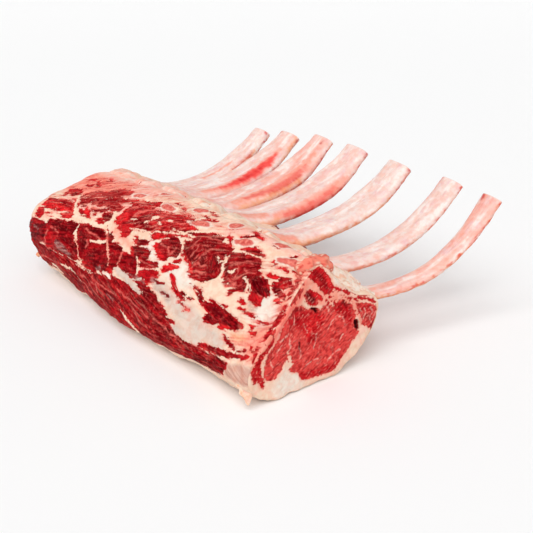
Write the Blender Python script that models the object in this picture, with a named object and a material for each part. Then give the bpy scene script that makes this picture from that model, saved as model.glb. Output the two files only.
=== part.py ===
"""Raw beef rib roast with seven ribs, lying on its fat cap, with the long rib bones scraped clean
and curving up. Metres, +Z up, +X towards the loin end, +Y along the bones.

The roast is three kinds of piece:
  meat            the muscle block, lofted between three unlike cross-sections
  fat_cap         the layer under it, which runs the whole length and shows at both cuts
  rib_bone_1..7   flat curved bones, rib 1 at the loin end, each let into the top of the meat
"""

import math

import bmesh
import bpy
import numpy as np

MM = 0.001
SHARP_ANGLE = math.radians(50)
SLOPE_STEP = 0.01
TANGENT_STEP = 0.1

# Driving dimensions of the block.
LENGTH = 0.407
RING_SPACING = 0.0175
LOIN_EDGE_RADIUS = 0.0045
CHUCK_EDGE_RADIUS = 0.024
EDGE_STEPS = 4
EDGE_CENTRE_HEIGHT = 0.040
HALF_SPAN = 0.085
SKIN_GAP = 0.0003

# Cross-sections in millimetres as (y, z), from the lower corner on the spine side, up that side,
# over the chine ridge, down the rib side and back along the underside. An outline position is a
# place along such a list, so 0.5 is half way from its first point to its second. Heights below
# zero are pressed flat by the table.
LOIN_SECTION = [
    (2, 26), (8, 44), (21, 62), (41, 80), (62, 104), (84, 120), (97, 110), (116, 88),
    (138, 73), (156, 62), (161, 46), (150, 29), (125, 9), (98, -1), (51, -2), (19, 5),
]
MIDDLE_SECTION = [
    (-7, 16), (-6, 34), (4, 56), (24, 80), (52, 106), (82, 121), (100, 115), (127, 101),
    (155, 90), (180, 82), (191, 63), (180, 30), (148, 4), (100, -2), (50, -2), (14, 2),
]
CHUCK_SECTION = [
    (6, 16), (-8, 38), (-13, 58), (-6, 77), (14, 91), (51, 102), (86, 110), (112, 104),
    (140, 90), (168, 77), (181, 56), (171, 28), (142, 4), (98, -2), (55, -2), (22, 2),
]
MIDDLE_SHARE = 0.52
SECTION_COUNT = 16
RIDGE_POSITION = 5
RIB_SIDE_END = 9.5
RIB_SIDE_SAMPLES = 60
SKIN_STEPS = 26

# The fat cap: outline positions of its two edges, and its thickness from one edge to the other.
FAT_SPINE_EDGE = -0.45
FAT_RIB_EDGE = -5.25
FAT_STEPS = 18
FAT_EDGE_GAP = 0.03
FAT_SHARES = (0.0, 0.08, 0.25, 0.50, 0.75, 0.92, 1.0)
FAT_THICKNESS = (0.0025, 0.0060, 0.0100, 0.0120, 0.0090, 0.0065, 0.0025)

# Ribs, from the loin end: width, width of the tip, thickness, height and slope over the edge of
# the meat, then the reach, height and slope of the tip.
RIB_SHAPES = (
    (0.022, 0.025, 0.0100, 0.059, -0.04, 0.314, 0.132, 1.50),
    (0.028, 0.030, 0.0110, 0.068, -0.06, 0.324, 0.132, 1.20),
    (0.036, 0.036, 0.0130, 0.082, 0.12, 0.310, 0.138, 1.08),
    (0.040, 0.037, 0.0130, 0.088, 0.10, 0.305, 0.144, 1.02),
    (0.041, 0.034, 0.0130, 0.086, 0.14, 0.308, 0.143, 1.02),
    (0.039, 0.036, 0.0130, 0.084, 0.02, 0.308, 0.135, 0.85),
    (0.032, 0.031, 0.0130, 0.075, -0.08, 0.312, 0.127, 0.95),
)
RIB_PITCH = 0.058
FIRST_RIB_SETBACK = 0.020
RIB_LEAN = 0.175
RIB_LEAN_STEP = 0.025
RIB_START = 0.104
RIB_EDGE = 0.175
RIB_SINK = 0.0035
RIB_HEAD_SHARE = 0.70
RIB_SHARES = (0.0, 0.30, 0.80, 1.0)
RIB_STATIONS = 12
RIB_SIDES = 12
RIB_SQUARENESS = 2.7
RIB_END_ROUND = 0.0015

RAW_RED = (0.42, 0.03, 0.03)
FAT_CREAM = (0.86, 0.72, 0.58)
BONE_PINK = (0.87, 0.68, 0.60)


def clear_scene():
    for obj in list(bpy.data.objects):
        bpy.data.objects.remove(obj, do_unlink=True)


def new_collection(name):
    made = bpy.data.collections.new(name)
    bpy.context.scene.collection.children.link(made)
    return made


def principled(name, colour, roughness):
    """A plain Principled BSDF of one colour, linear RGB."""
    material = bpy.data.materials.new(name)
    material.use_nodes = True
    shader = material.node_tree.nodes["Principled BSDF"]
    shader.inputs["Base Color"].default_value = (*colour, 1.0)
    shader.inputs["Roughness"].default_value = roughness
    shader.inputs["Metallic"].default_value = 0.0
    return material


def loft(name, rings, material, collection):
    """A closed solid over rings with equal numbers of points and a flat face at each end."""
    mesh = bmesh.new()
    rows = [[mesh.verts.new(point) for point in ring] for ring in rings]
    for low, high in zip(rows, rows[1:]):
        for i, left in enumerate(low):
            j = (i + 1) % len(low)
            mesh.faces.new((left, low[j], high[j], high[i]))
    mesh.faces.new(rows[0])
    mesh.faces.new(rows[-1])
    bmesh.ops.recalc_face_normals(mesh, faces=mesh.faces)
    data = bpy.data.meshes.new(name)
    mesh.to_mesh(data)
    mesh.free()
    data.materials.append(material)
    data.shade_smooth()
    data.set_sharp_from_angle(angle=SHARP_ANGLE)
    obj = bpy.data.objects.new(name, data)
    collection.objects.link(obj)
    return obj


def closed_curve(points, at):
    """Points of the Catmull-Rom curve through a closed outline, at these outline positions."""
    outline = np.array(points, float)
    first = np.floor(at).astype(int)
    share = (at - first)[:, None]
    p0, p1, p2, p3 = (outline[(first + k) % len(outline)] for k in (-1, 0, 1, 2))
    return 0.5 * (
        2 * p1
        + (p2 - p0) * share
        + (2 * p0 - 5 * p1 + 4 * p2 - p3) * share**2
        + (3 * p1 - p0 - 3 * p2 + p3) * share**3
    )


def curve_between(y, low, start, start_slope, high, end, end_slope):
    """Heights at y of the cubic with these heights and slopes at low and high."""
    span = high - low
    share = (y - low) / span
    return (
        start * (2 * share**3 - 3 * share**2 + 1)
        + start_slope * span * (share**3 - 2 * share**2 + share)
        + end * (3 * share**2 - 2 * share**3)
        + end_slope * span * (share**3 - share**2)
    )


def outline_at(x, at):
    """(y, z) in metres of the block's outline at this x, at these outline positions."""
    share = min(max(x / LENGTH, 0.0), 1.0)
    if share < MIDDLE_SHARE:
        blend, start, end = share / MIDDLE_SHARE, CHUCK_SECTION, MIDDLE_SECTION
    else:
        blend = (share - MIDDLE_SHARE) / (1 - MIDDLE_SHARE)
        start, end = MIDDLE_SECTION, LOIN_SECTION
    blend = blend * blend * (3 - 2 * blend)
    outline = ((1 - blend) * closed_curve(start, at) + blend * closed_curve(end, at)) * MM
    outline[:, 1] = np.maximum(outline[:, 1], 0.0)
    return outline


def skin(station, at, depth):
    """(x, y, z) points under the block's surface, this deep along its normal in the section."""
    x, inset = station
    positions = np.asarray(at, float)
    centre = np.array([outline_at(x, np.arange(SECTION_COUNT))[:, 0].mean(), EDGE_CENTRE_HEIGHT])

    def drawn_in(positions):
        return centre + (outline_at(x, positions) - centre) * (1 - inset / HALF_SPAN)

    along = drawn_in(positions + TANGENT_STEP) - drawn_in(positions - TANGENT_STEP)
    along /= np.linalg.norm(along, axis=1)[:, None]
    inwards = np.stack([along[:, 1], -along[:, 0]], axis=1)
    points = drawn_in(positions) + inwards * np.broadcast_to(depth, positions.shape)[:, None]
    return [(x, y, z) for y, z in points]


def stations():
    """(x, inset) of each ring: rounded over at the chuck end, cut nearly square at the loin end."""
    turns = [math.pi / 2 * step / EDGE_STEPS for step in range(EDGE_STEPS + 1)]
    chuck = [
        (CHUCK_EDGE_RADIUS * (1 - math.cos(t)), CHUCK_EDGE_RADIUS * (1 - math.sin(t)))
        for t in turns
    ]
    loin = [
        (LENGTH - LOIN_EDGE_RADIUS * (1 - math.cos(t)), LOIN_EDGE_RADIUS * (1 - math.sin(t)))
        for t in reversed(turns)
    ]
    length = LENGTH - CHUCK_EDGE_RADIUS - LOIN_EDGE_RADIUS
    count = round(length / RING_SPACING)
    return chuck + [(chuck[-1][0] + length * k / count, 0.0) for k in range(1, count)] + loin


def fat_thickness(positions):
    share = (positions - FAT_SPINE_EDGE) / (FAT_RIB_EDGE - FAT_SPINE_EDGE)
    return np.interp(share, FAT_SHARES, FAT_THICKNESS)


def make_fat_cap(material, collection):
    positions = np.linspace(FAT_SPINE_EDGE, FAT_RIB_EDGE, FAT_STEPS + 1)
    thickness = fat_thickness(positions)
    rings = [
        skin(station, positions, 0.0) + skin(station, positions, thickness)[::-1]
        for station in stations()
    ]
    return loft("fat_cap", rings, material, collection)


def make_meat(material, collection):
    positions = np.linspace(FAT_SPINE_EDGE, FAT_RIB_EDGE, FAT_STEPS + 1)
    depth = fat_thickness(positions) + SKIN_GAP
    positions[0] += FAT_EDGE_GAP
    positions[-1] -= FAT_EDGE_GAP
    bare = np.linspace(positions[-1] + SECTION_COUNT, positions[0], SKIN_STEPS + 1)
    rings = [
        skin(station, bare, 0.0) + skin(station, positions, depth) for station in stations()
    ]
    return loft("meat", rings, material, collection)


def top_height(x, y):
    """Height of the block's rib side at this x and y."""
    top = outline_at(x, np.linspace(RIDGE_POSITION, RIB_SIDE_END, RIB_SIDE_SAMPLES))
    return float(np.interp(y, top[:, 0], top[:, 1]))


def rib_line(index):
    """Centre line of one rib as points from its head to its sawn tip."""
    edge_height, edge_slope, tip_reach, tip_height, tip_slope = RIB_SHAPES[index][3:]
    root = LENGTH - FIRST_RIB_SETBACK - index * RIB_PITCH
    lean = RIB_LEAN - index * RIB_LEAN_STEP

    def across(y):
        return root + lean * (y - RIB_EDGE)

    x = across(RIB_START)
    start_height = top_height(x, RIB_START) - RIB_SINK
    start_drop = top_height(x, RIB_START + SLOPE_STEP) - top_height(x, RIB_START)
    start_slope = start_drop / SLOPE_STEP
    y = np.linspace(RIB_START, tip_reach, RIB_STATIONS + 1)
    over_meat = curve_between(
        y, RIB_START, start_height, start_slope, RIB_EDGE, edge_height, edge_slope
    )
    beyond = curve_between(y, RIB_EDGE, edge_height, edge_slope, tip_reach, tip_height, tip_slope)
    return np.stack([across(y), y, np.where(y < RIB_EDGE, over_meat, beyond)], axis=1)


def rounded_flat():
    """Points (across, up) round the outline of a rib that is 2 wide and 2 thick."""
    turn = 2 * math.pi * (np.arange(RIB_SIDES) + 0.5) / RIB_SIDES
    across, up = np.cos(turn), np.sin(turn)
    power = RIB_SQUARENESS
    size = (np.abs(across) ** power + np.abs(up) ** power) ** (-1 / power)
    return np.stack([across * size, up * size], axis=1)


def make_rib(name, index, grow, material, collection):
    """A flat rib swept along its centre line, grown all round by this much."""
    line = rib_line(index)
    width, tip_width, thickness = RIB_SHAPES[index][:3]
    along = np.gradient(line, axis=0)
    along /= np.linalg.norm(along, axis=1)[:, None]
    shares = np.arange(RIB_STATIONS + 1) / RIB_STATIONS
    widths = np.interp(shares, RIB_SHARES, (width * RIB_HEAD_SHARE, width, width, tip_width))
    shoulder = RIB_END_ROUND - grow
    ends = [(0, line[0] - along[0] * grow, RIB_END_ROUND)]
    ends += [(0, line[0] + along[0] * shoulder, 0.0)]
    ends += [(k, line[k], 0.0) for k in range(1, RIB_STATIONS)]
    ends += [(RIB_STATIONS, line[-1] - along[-1] * shoulder, 0.0)]
    ends += [(RIB_STATIONS, line[-1] + along[-1] * grow, RIB_END_ROUND)]
    rings = []
    for k, centre, inset in ends:
        up = np.cross((1.0, 0.0, 0.0), along[k])
        up /= np.linalg.norm(up)
        side = np.cross(along[k], up)
        half = np.array([widths[k], thickness]) / 2 - inset + grow
        ring = centre + (rounded_flat() * half) @ np.array([side, up])
        rings.append([tuple(point) for point in ring])
    return loft(name, rings, material, collection)


def cut_away(part, cutter):
    cutter.hide_render = True
    cutter.display_type = "WIRE"
    cut = part.modifiers.new(cutter.name, "BOOLEAN")
    cut.operation = "DIFFERENCE"
    cut.solver = "EXACT"
    cut.object = cutter


def stand_on_origin(parts, everything):
    """Move the roast so that the origin is under the middle of its box."""
    points = np.array([tuple(v.co) for obj in parts for v in obj.data.vertices])
    low, high = points.min(axis=0), points.max(axis=0)
    shift = (-(low[0] + high[0]) / 2, -(low[1] + high[1]) / 2, -low[2])
    for obj in everything:
        for vertex in obj.data.vertices:
            vertex.co.x += shift[0]
            vertex.co.y += shift[1]
            vertex.co.z += shift[2]


def build():
    clear_scene()
    parts = new_collection("beef_rib_roast")
    cutters = new_collection("cutters")
    red = principled("raw_meat", RAW_RED, 0.35)
    cream = principled("beef_fat", FAT_CREAM, 0.40)
    bone = principled("rib_bone", BONE_PINK, 0.45)
    meat = make_meat(red, parts)
    pieces = [meat, make_fat_cap(cream, parts)]
    channels = []
    for index in range(len(RIB_SHAPES)):
        name = f"rib_bone_{index + 1}"
        pieces.append(make_rib(name, index, 0.0, bone, parts))
        channels.append(make_rib(f"channel_{index + 1}", index, SKIN_GAP, bone, cutters))
    stand_on_origin(pieces, pieces + channels)
    for channel in channels:
        cut_away(meat, channel)


build()
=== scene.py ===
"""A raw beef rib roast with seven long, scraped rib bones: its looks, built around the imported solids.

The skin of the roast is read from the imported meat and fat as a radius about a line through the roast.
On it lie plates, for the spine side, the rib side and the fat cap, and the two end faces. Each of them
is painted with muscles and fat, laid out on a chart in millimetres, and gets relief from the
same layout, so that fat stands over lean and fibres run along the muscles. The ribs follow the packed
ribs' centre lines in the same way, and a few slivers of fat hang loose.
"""

import math

import bpy
import numpy as np
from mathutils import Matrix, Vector
from mathutils.bvhtree import BVHTree


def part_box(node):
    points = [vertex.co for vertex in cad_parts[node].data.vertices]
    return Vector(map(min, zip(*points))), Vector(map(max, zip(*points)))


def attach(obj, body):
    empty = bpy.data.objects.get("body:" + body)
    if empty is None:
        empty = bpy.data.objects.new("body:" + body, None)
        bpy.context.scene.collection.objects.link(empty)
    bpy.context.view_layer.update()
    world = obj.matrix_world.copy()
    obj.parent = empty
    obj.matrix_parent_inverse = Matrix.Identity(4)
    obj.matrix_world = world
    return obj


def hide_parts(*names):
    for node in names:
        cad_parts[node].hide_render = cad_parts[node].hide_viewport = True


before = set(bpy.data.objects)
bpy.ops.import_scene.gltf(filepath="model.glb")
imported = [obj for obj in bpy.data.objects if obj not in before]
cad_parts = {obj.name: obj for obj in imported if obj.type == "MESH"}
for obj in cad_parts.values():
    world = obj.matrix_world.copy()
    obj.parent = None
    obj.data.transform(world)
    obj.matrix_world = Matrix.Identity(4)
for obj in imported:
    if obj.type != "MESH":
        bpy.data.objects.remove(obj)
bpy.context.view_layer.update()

MM = 0.001
RIB_NODES = [f"rib_bone_{index}" for index in range(1, 8)]

# ---------------------------------------------------------------- the roast's own measures

MEAT_LOW, MEAT_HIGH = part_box("meat")
CHUCK_X = MEAT_LOW.x  # the rounded end, away from the near cut
LOIN_X = MEAT_HIGH.x  # the flat near cut
LENGTH = LOIN_X - CHUCK_X
AXIS_Y = MEAT_LOW.y + 0.480 * (MEAT_HIGH.y - MEAT_LOW.y)
AXIS_Z = 0.412 * MEAT_HIGH.z
CHUCK_ROUND = 24 * MM  # how far each end's edge is rounded
LOIN_ROUND = 4.5 * MM
FLOOR_GAP = 0.2 * MM  # nothing comes lower than this

# angles about the axis, in degrees: 0 is level towards the spine side, 90 straight up
FAT_SPINE_ANGLE = -25.0
RIDGE_ANGLE = 97.0
FAT_RIB_ANGLE = 188.0


def srgb(red, green, blue):
    """A screen colour as linear light, for vertex colours and shader sockets."""

    def linear(value):
        share = value / 255
        return share / 12.92 if share <= 0.04045 else ((share + 0.055) / 1.055) ** 2.4

    return (linear(red), linear(green), linear(blue))


LEAN = {
    "dark": srgb(104, 0, 10),
    "maroon": srgb(148, 6, 18),
    "red": srgb(196, 18, 28),
    "bright": srgb(232, 34, 40),
    "flesh": srgb(226, 72, 67),
    "rose": srgb(228, 104, 94),
    "brown": srgb(192, 58, 54),
}
FAT = {
    "cream": srgb(238, 209, 186),
    "white": srgb(234, 222, 209),
    "silver": srgb(212, 194, 181),
    "grey": srgb(176, 146, 138),
    "pink": srgb(242, 190, 174),
    "salmon": srgb(240, 158, 138),
    "marrow": srgb(222, 112, 100),
    "orange": srgb(236, 168, 128),
    "bone": srgb(232, 213, 206),
    "membrane": srgb(206, 162, 146),
    "knob": srgb(233, 132, 112),
    # paler than the white fat, as painted light on the loose flaps, which lie in shade
    "flap": srgb(246, 230, 216),
}
THREAD = srgb(235, 118, 106)  # thin fat seen through lean
# tones that tint lean
LEAN_TONE = {
    "glow": srgb(222, 40, 46),
    "marbled": srgb(238, 146, 126),
    "sinew": srgb(238, 176, 158),
    "pale_strand": srgb(206, 100, 88),
    "fleck": srgb(238, 160, 144),
    "marbling": srgb(244, 196, 178),
    # painted highlight: the pale sheen laid on a cut's raised grain
    "painted_cut_highlight": srgb(226, 96, 88),
    # painted shade: near black inside the holes of a cut
    "painted_hole_shade": srgb(48, 0, 4),
}
# tones that tint fat and bone
FAT_TONE = {
    "skin_line": srgb(170, 112, 98),
    "bone_rim": srgb(206, 84, 76),
    "dark_marrow": srgb(182, 60, 58),
    "rosy_bone": srgb(226, 186, 190),
    "white_bone": srgb(242, 230, 224),
    "stained_bone": srgb(238, 150, 130),
    "rib_edge_fat": srgb(236, 154, 116),
    "rib_edge_flesh": srgb(214, 72, 58),
}


def colour_of(kind):
    """The colour of a kind of lean or fat."""
    return LEAN[kind] if kind in LEAN else FAT[kind]


# ---------------------------------------------------------------- noise


def hashed(ix, iy, iz, seed):
    """A steady random number from -1 to 1 for each lattice point."""
    value = (ix * 374761393 + iy * 668265263 + iz * 1440662683 + seed * 1013904223) & 0xFFFFFFFF
    value = ((value ^ (value >> 13)) * 1274126177) & 0xFFFFFFFF
    value = ((value ^ (value >> 15)) * 2246822519) & 0xFFFFFFFF
    return ((value ^ (value >> 16)) & 0xFFFFFF) / 0x7FFFFF - 1


def noise(points, seed=0):
    """Smooth gradient noise about -1 to 1, with features about one unit wide."""
    base = np.floor(points).astype(np.int64)
    share = points - base
    eased = share**3 * (share * (share * 6 - 15) + 10)
    total = np.zeros(points.shape[:-1])
    for corner in range(8):
        dx, dy, dz = corner & 1, corner >> 1 & 1, corner >> 2 & 1
        weight = (
            (eased[..., 0] if dx else 1 - eased[..., 0])
            * (eased[..., 1] if dy else 1 - eased[..., 1])
            * (eased[..., 2] if dz else 1 - eased[..., 2])
        )
        place = (base[..., 0] + dx, base[..., 1] + dy, base[..., 2] + dz)
        slope = (
            hashed(*place, seed) * (share[..., 0] - dx)
            + hashed(*place, seed + 101) * (share[..., 1] - dy)
            + hashed(*place, seed + 202) * (share[..., 2] - dz)
        )
        total += weight * slope
    return 2.4 * total


def layered(points, size, seed, layers=3, gain=0.5):
    """Noise in several sizes, each half the last."""
    total, strength, whole = 0.0, 1.0, 0.0
    for layer in range(layers):
        total = total + strength * noise(points / size * 2**layer, seed + layer)
        whole += strength
        strength *= gain
    return total / whole


def flat_noise(u, v, size, seed, layers=2):
    """Noise over a chart, in the chart's own units."""
    return layered(np.stack([u, v, np.full_like(u, seed * 7.3)], -1), size, seed, layers)


FIBRE_DIRECTIONS = 12  # fibre angles are blended from noise drawn out in this many directions


def fibre_noise(u, v, angle, along, across, seed):
    """Noise drawn out along the fibres, whose angle in degrees varies over the chart."""
    directions = FIBRE_DIRECTIONS
    turn = (angle / 180 * directions) % directions
    total = np.zeros_like(u)
    for index in range(directions):
        apart = np.abs((turn - index + directions / 2) % directions - directions / 2)
        weight = np.maximum(0, 1 - apart)
        held = weight > 0
        if not held.any():
            continue
        way = math.radians(index * 180 / directions)
        x = (u[held] * math.cos(way) + v[held] * math.sin(way)) / along
        y = (v[held] * math.cos(way) - u[held] * math.sin(way)) / across
        total[held] += weight[held] * layered(np.stack([x, y, y * 0 + index], -1), 1.0, seed, 2)
    return 1.9 * total


def smooth(value, low, high):
    """0 below low, 1 above high, and a smooth step between."""
    share = np.clip((value - low) / (high - low), 0, 1)
    return share * share * (3 - 2 * share)


# ---------------------------------------------------------------- lines and grids


def run_along(line):
    """The distance along a line of points, from 0 at its first."""
    return np.concatenate([[0], np.cumsum(np.linalg.norm(np.diff(line, axis=0), axis=1))])


def spread_evenly(line, count):
    """The line again with even steps, and the distance along it at each."""
    run = run_along(line)
    at = np.linspace(0, run[-1], count)
    return np.stack([np.interp(at, run, line[:, axis]) for axis in range(3)], -1), at


def unit(vectors):
    """The vectors at length one."""
    return vectors / np.maximum(np.linalg.norm(vectors, axis=-1, keepdims=True), 1e-12)


def turns_round(count):
    """Even angles round a full circle, in radians."""
    return np.arange(count) * 2 * math.pi / count


def columns_of(values, count):
    """A row's values repeated over a number of columns."""
    return np.repeat(values[:, None], count, 1)


def blurred(grid, sigma, axis, wrap):
    """A Gaussian blur along one axis of a grid."""
    reach = max(1, math.ceil(3 * sigma))
    offsets = np.arange(-reach, reach + 1)
    weights = np.exp(-0.5 * (offsets / sigma) ** 2)
    weights /= weights.sum()
    padding = [(0, 0)] * grid.ndim
    padding[axis] = (reach, reach)
    padded = np.pad(grid, padding, mode="wrap" if wrap else "edge")
    count = grid.shape[axis]
    total = np.zeros_like(grid)
    for offset, weight in zip(offsets, weights):
        total += weight * np.take(padded, np.arange(count) + reach + offset, axis=axis)
    return total


# ---------------------------------------------------------------- the skin of the roast


def solid_tree(*nodes):
    """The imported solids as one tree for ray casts."""
    points, faces = [], []
    for node in nodes:
        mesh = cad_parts[node].data
        start = len(points)
        points += [vertex.co.copy() for vertex in mesh.vertices]
        faces += [[start + corner for corner in face.vertices] for face in mesh.polygons]
    return BVHTree.FromPolygons(points, faces)


class Skin:
    """The roast's outer radius about its axis, by place along the roast and by angle."""

    STEPS_ALONG, STEPS_ROUND = 160, 480
    OUTSIDE = 0.3  # rays start this far from the axis, clear of the roast
    UNDER_RIB = 4 * MM  # the skin is a rib's channel where the rib comes this near it
    BLUR_ALONG = 7 * MM
    BLUR_ROUND = 3.0  # degrees

    def __init__(self):
        self.x = np.linspace(CHUCK_X + CHUCK_ROUND, LOIN_X - LOIN_ROUND, self.STEPS_ALONG)
        self.angles = np.arange(self.STEPS_ROUND) * 360 / self.STEPS_ROUND
        outer = solid_tree("meat", "fat_cap")
        ribs = solid_tree(*RIB_NODES)
        radius = np.zeros((len(self.x), self.STEPS_ROUND))
        channel = np.zeros(radius.shape, bool)
        for row, x in enumerate(self.x):
            centre = Vector((x, AXIS_Y, AXIS_Z))
            for column, angle in enumerate(np.radians(self.angles)):
                way = Vector((0, -math.cos(angle), math.sin(angle)))
                radius[row, column] = self.OUTSIDE - outer.ray_cast(centre + way * self.OUTSIDE, -way)[3]
                rib = ribs.ray_cast(centre, way)[3]
                channel[row, column] = rib is not None and abs(rib - radius[row, column]) < self.UNDER_RIB
        radius = self.bridged(radius, channel)
        spacing = self.x[1] - self.x[0]
        radius = blurred(radius, self.BLUR_ALONG / spacing, 0, False)
        self.radius = blurred(radius, self.BLUR_ROUND * self.STEPS_ROUND / 360, 1, True)

    def bridged(self, radius, channel):
        """The radius with the channels under the ribs filled in from the meat beside them."""
        wide = channel.copy()
        for shift in range(-3, 4):
            wide |= np.roll(channel, shift, axis=0)
        rows = np.arange(len(self.x))
        filled = radius.copy()
        for column in range(self.STEPS_ROUND):
            open_rows = ~wide[:, column]
            if open_rows.sum() > 4 and wide[:, column].any():
                filled[:, column] = np.interp(rows, rows[open_rows], radius[open_rows, column])
        return filled

    def at(self, x, angle):
        """The radius at places x and angles in degrees."""
        row = np.clip((x - self.x[0]) / (self.x[1] - self.x[0]), 0, len(self.x) - 1.001)
        column = (angle % 360) / 360 * self.STEPS_ROUND
        low_row, low_column = row.astype(int), column.astype(int) % self.STEPS_ROUND
        next_column = (low_column + 1) % self.STEPS_ROUND
        part, side = row - low_row, column - np.floor(column)
        near = self.radius[low_row, low_column] * (1 - side) + self.radius[low_row, next_column] * side
        far = self.radius[low_row + 1, low_column] * (1 - side) + self.radius[low_row + 1, next_column] * side
        return near * (1 - part) + far * part

    def points(self, x, angle, inset=0.0, share=1.0):
        """Points on the skin, or inset from it, or drawn in towards the axis."""
        radius = (self.at(x, angle) - inset) * share
        way = np.radians(angle)
        return np.stack([x + 0 * angle, AXIS_Y - radius * np.cos(way), AXIS_Z + radius * np.sin(way)], -1)


skin = Skin()


def even_angles(x, low, high, count):
    """Angles from low to high that lie evenly along the section at each x."""
    dense = np.linspace(low, high, 400)
    rows = np.zeros((len(x), count))
    shares = np.linspace(0, 1, count)
    for row, place in enumerate(x):
        run = run_along(skin.points(np.full(len(dense), place), dense))
        rows[row] = np.interp(shares * run[-1], run, dense)
    return rows


def arc_from(x, angle, start):
    """Signed distance along each row's section from the start angle, in metres."""
    points = skin.points(columns_of(x, angle.shape[1]), angle)
    steps = np.linalg.norm(np.diff(points, axis=1), axis=2)
    run = np.concatenate([np.zeros((len(x), 1)), np.cumsum(steps, axis=1)], axis=1)
    lead = np.zeros((len(x), 1))
    for row, place in enumerate(x):
        line = skin.points(np.full(200, place), np.linspace(start, angle[row, 0], 200))
        lead[row] = run_along(line)[-1] * np.sign(angle[row, 0] - start)
    return run + lead


def normals_of(points):
    """Unit normals of a grid of points, pointing away from the roast."""
    return unit(np.cross(np.gradient(points, axis=0), np.gradient(points, axis=1)))


# ---------------------------------------------------------------- painting on a chart


def to_segment(u, v, first, second):
    """The nearest place on a segment, as a share of its length, and how far off it is."""
    (u1, v1), (u2, v2) = first, second
    du, dv = u2 - u1, v2 - v1
    share = np.clip(((u - u1) * du + (v - v1) * dv) / max(du * du + dv * dv, 1e-9), 0, 1)
    return share, np.hypot(u - u1 - share * du, v - v1 - share * dv)


def stroke_depth(u, v, points):
    """How deep each place lies inside a stroke: a line whose half width changes from point to point."""
    depth = np.full(u.shape, -1e3)
    if len(points) == 1:
        points = points * 2
    for (*first, r1), (*second, r2) in zip(points, points[1:]):
        share, apart = to_segment(u, v, first, second)
        depth = np.maximum(depth, r1 + (r2 - r1) * share - apart)
    return depth


def area_depth(u, v, points):
    """How deep each place lies inside a closed outline, and minus the distance to it outside."""
    apart = np.full(u.shape, 1e3)
    inside = np.zeros(u.shape, bool)
    for (u1, v1), (u2, v2) in zip(points, points[1:] + points[:1]):
        apart = np.minimum(apart, to_segment(u, v, (u1, v1), (u2, v2))[1])
        if v1 != v2:
            inside ^= ((v1 > v) != (v2 > v)) & (u < (u2 - u1) * (v - v1) / (v2 - v1) + u1)
    return np.where(inside, apart, -apart)


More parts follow.
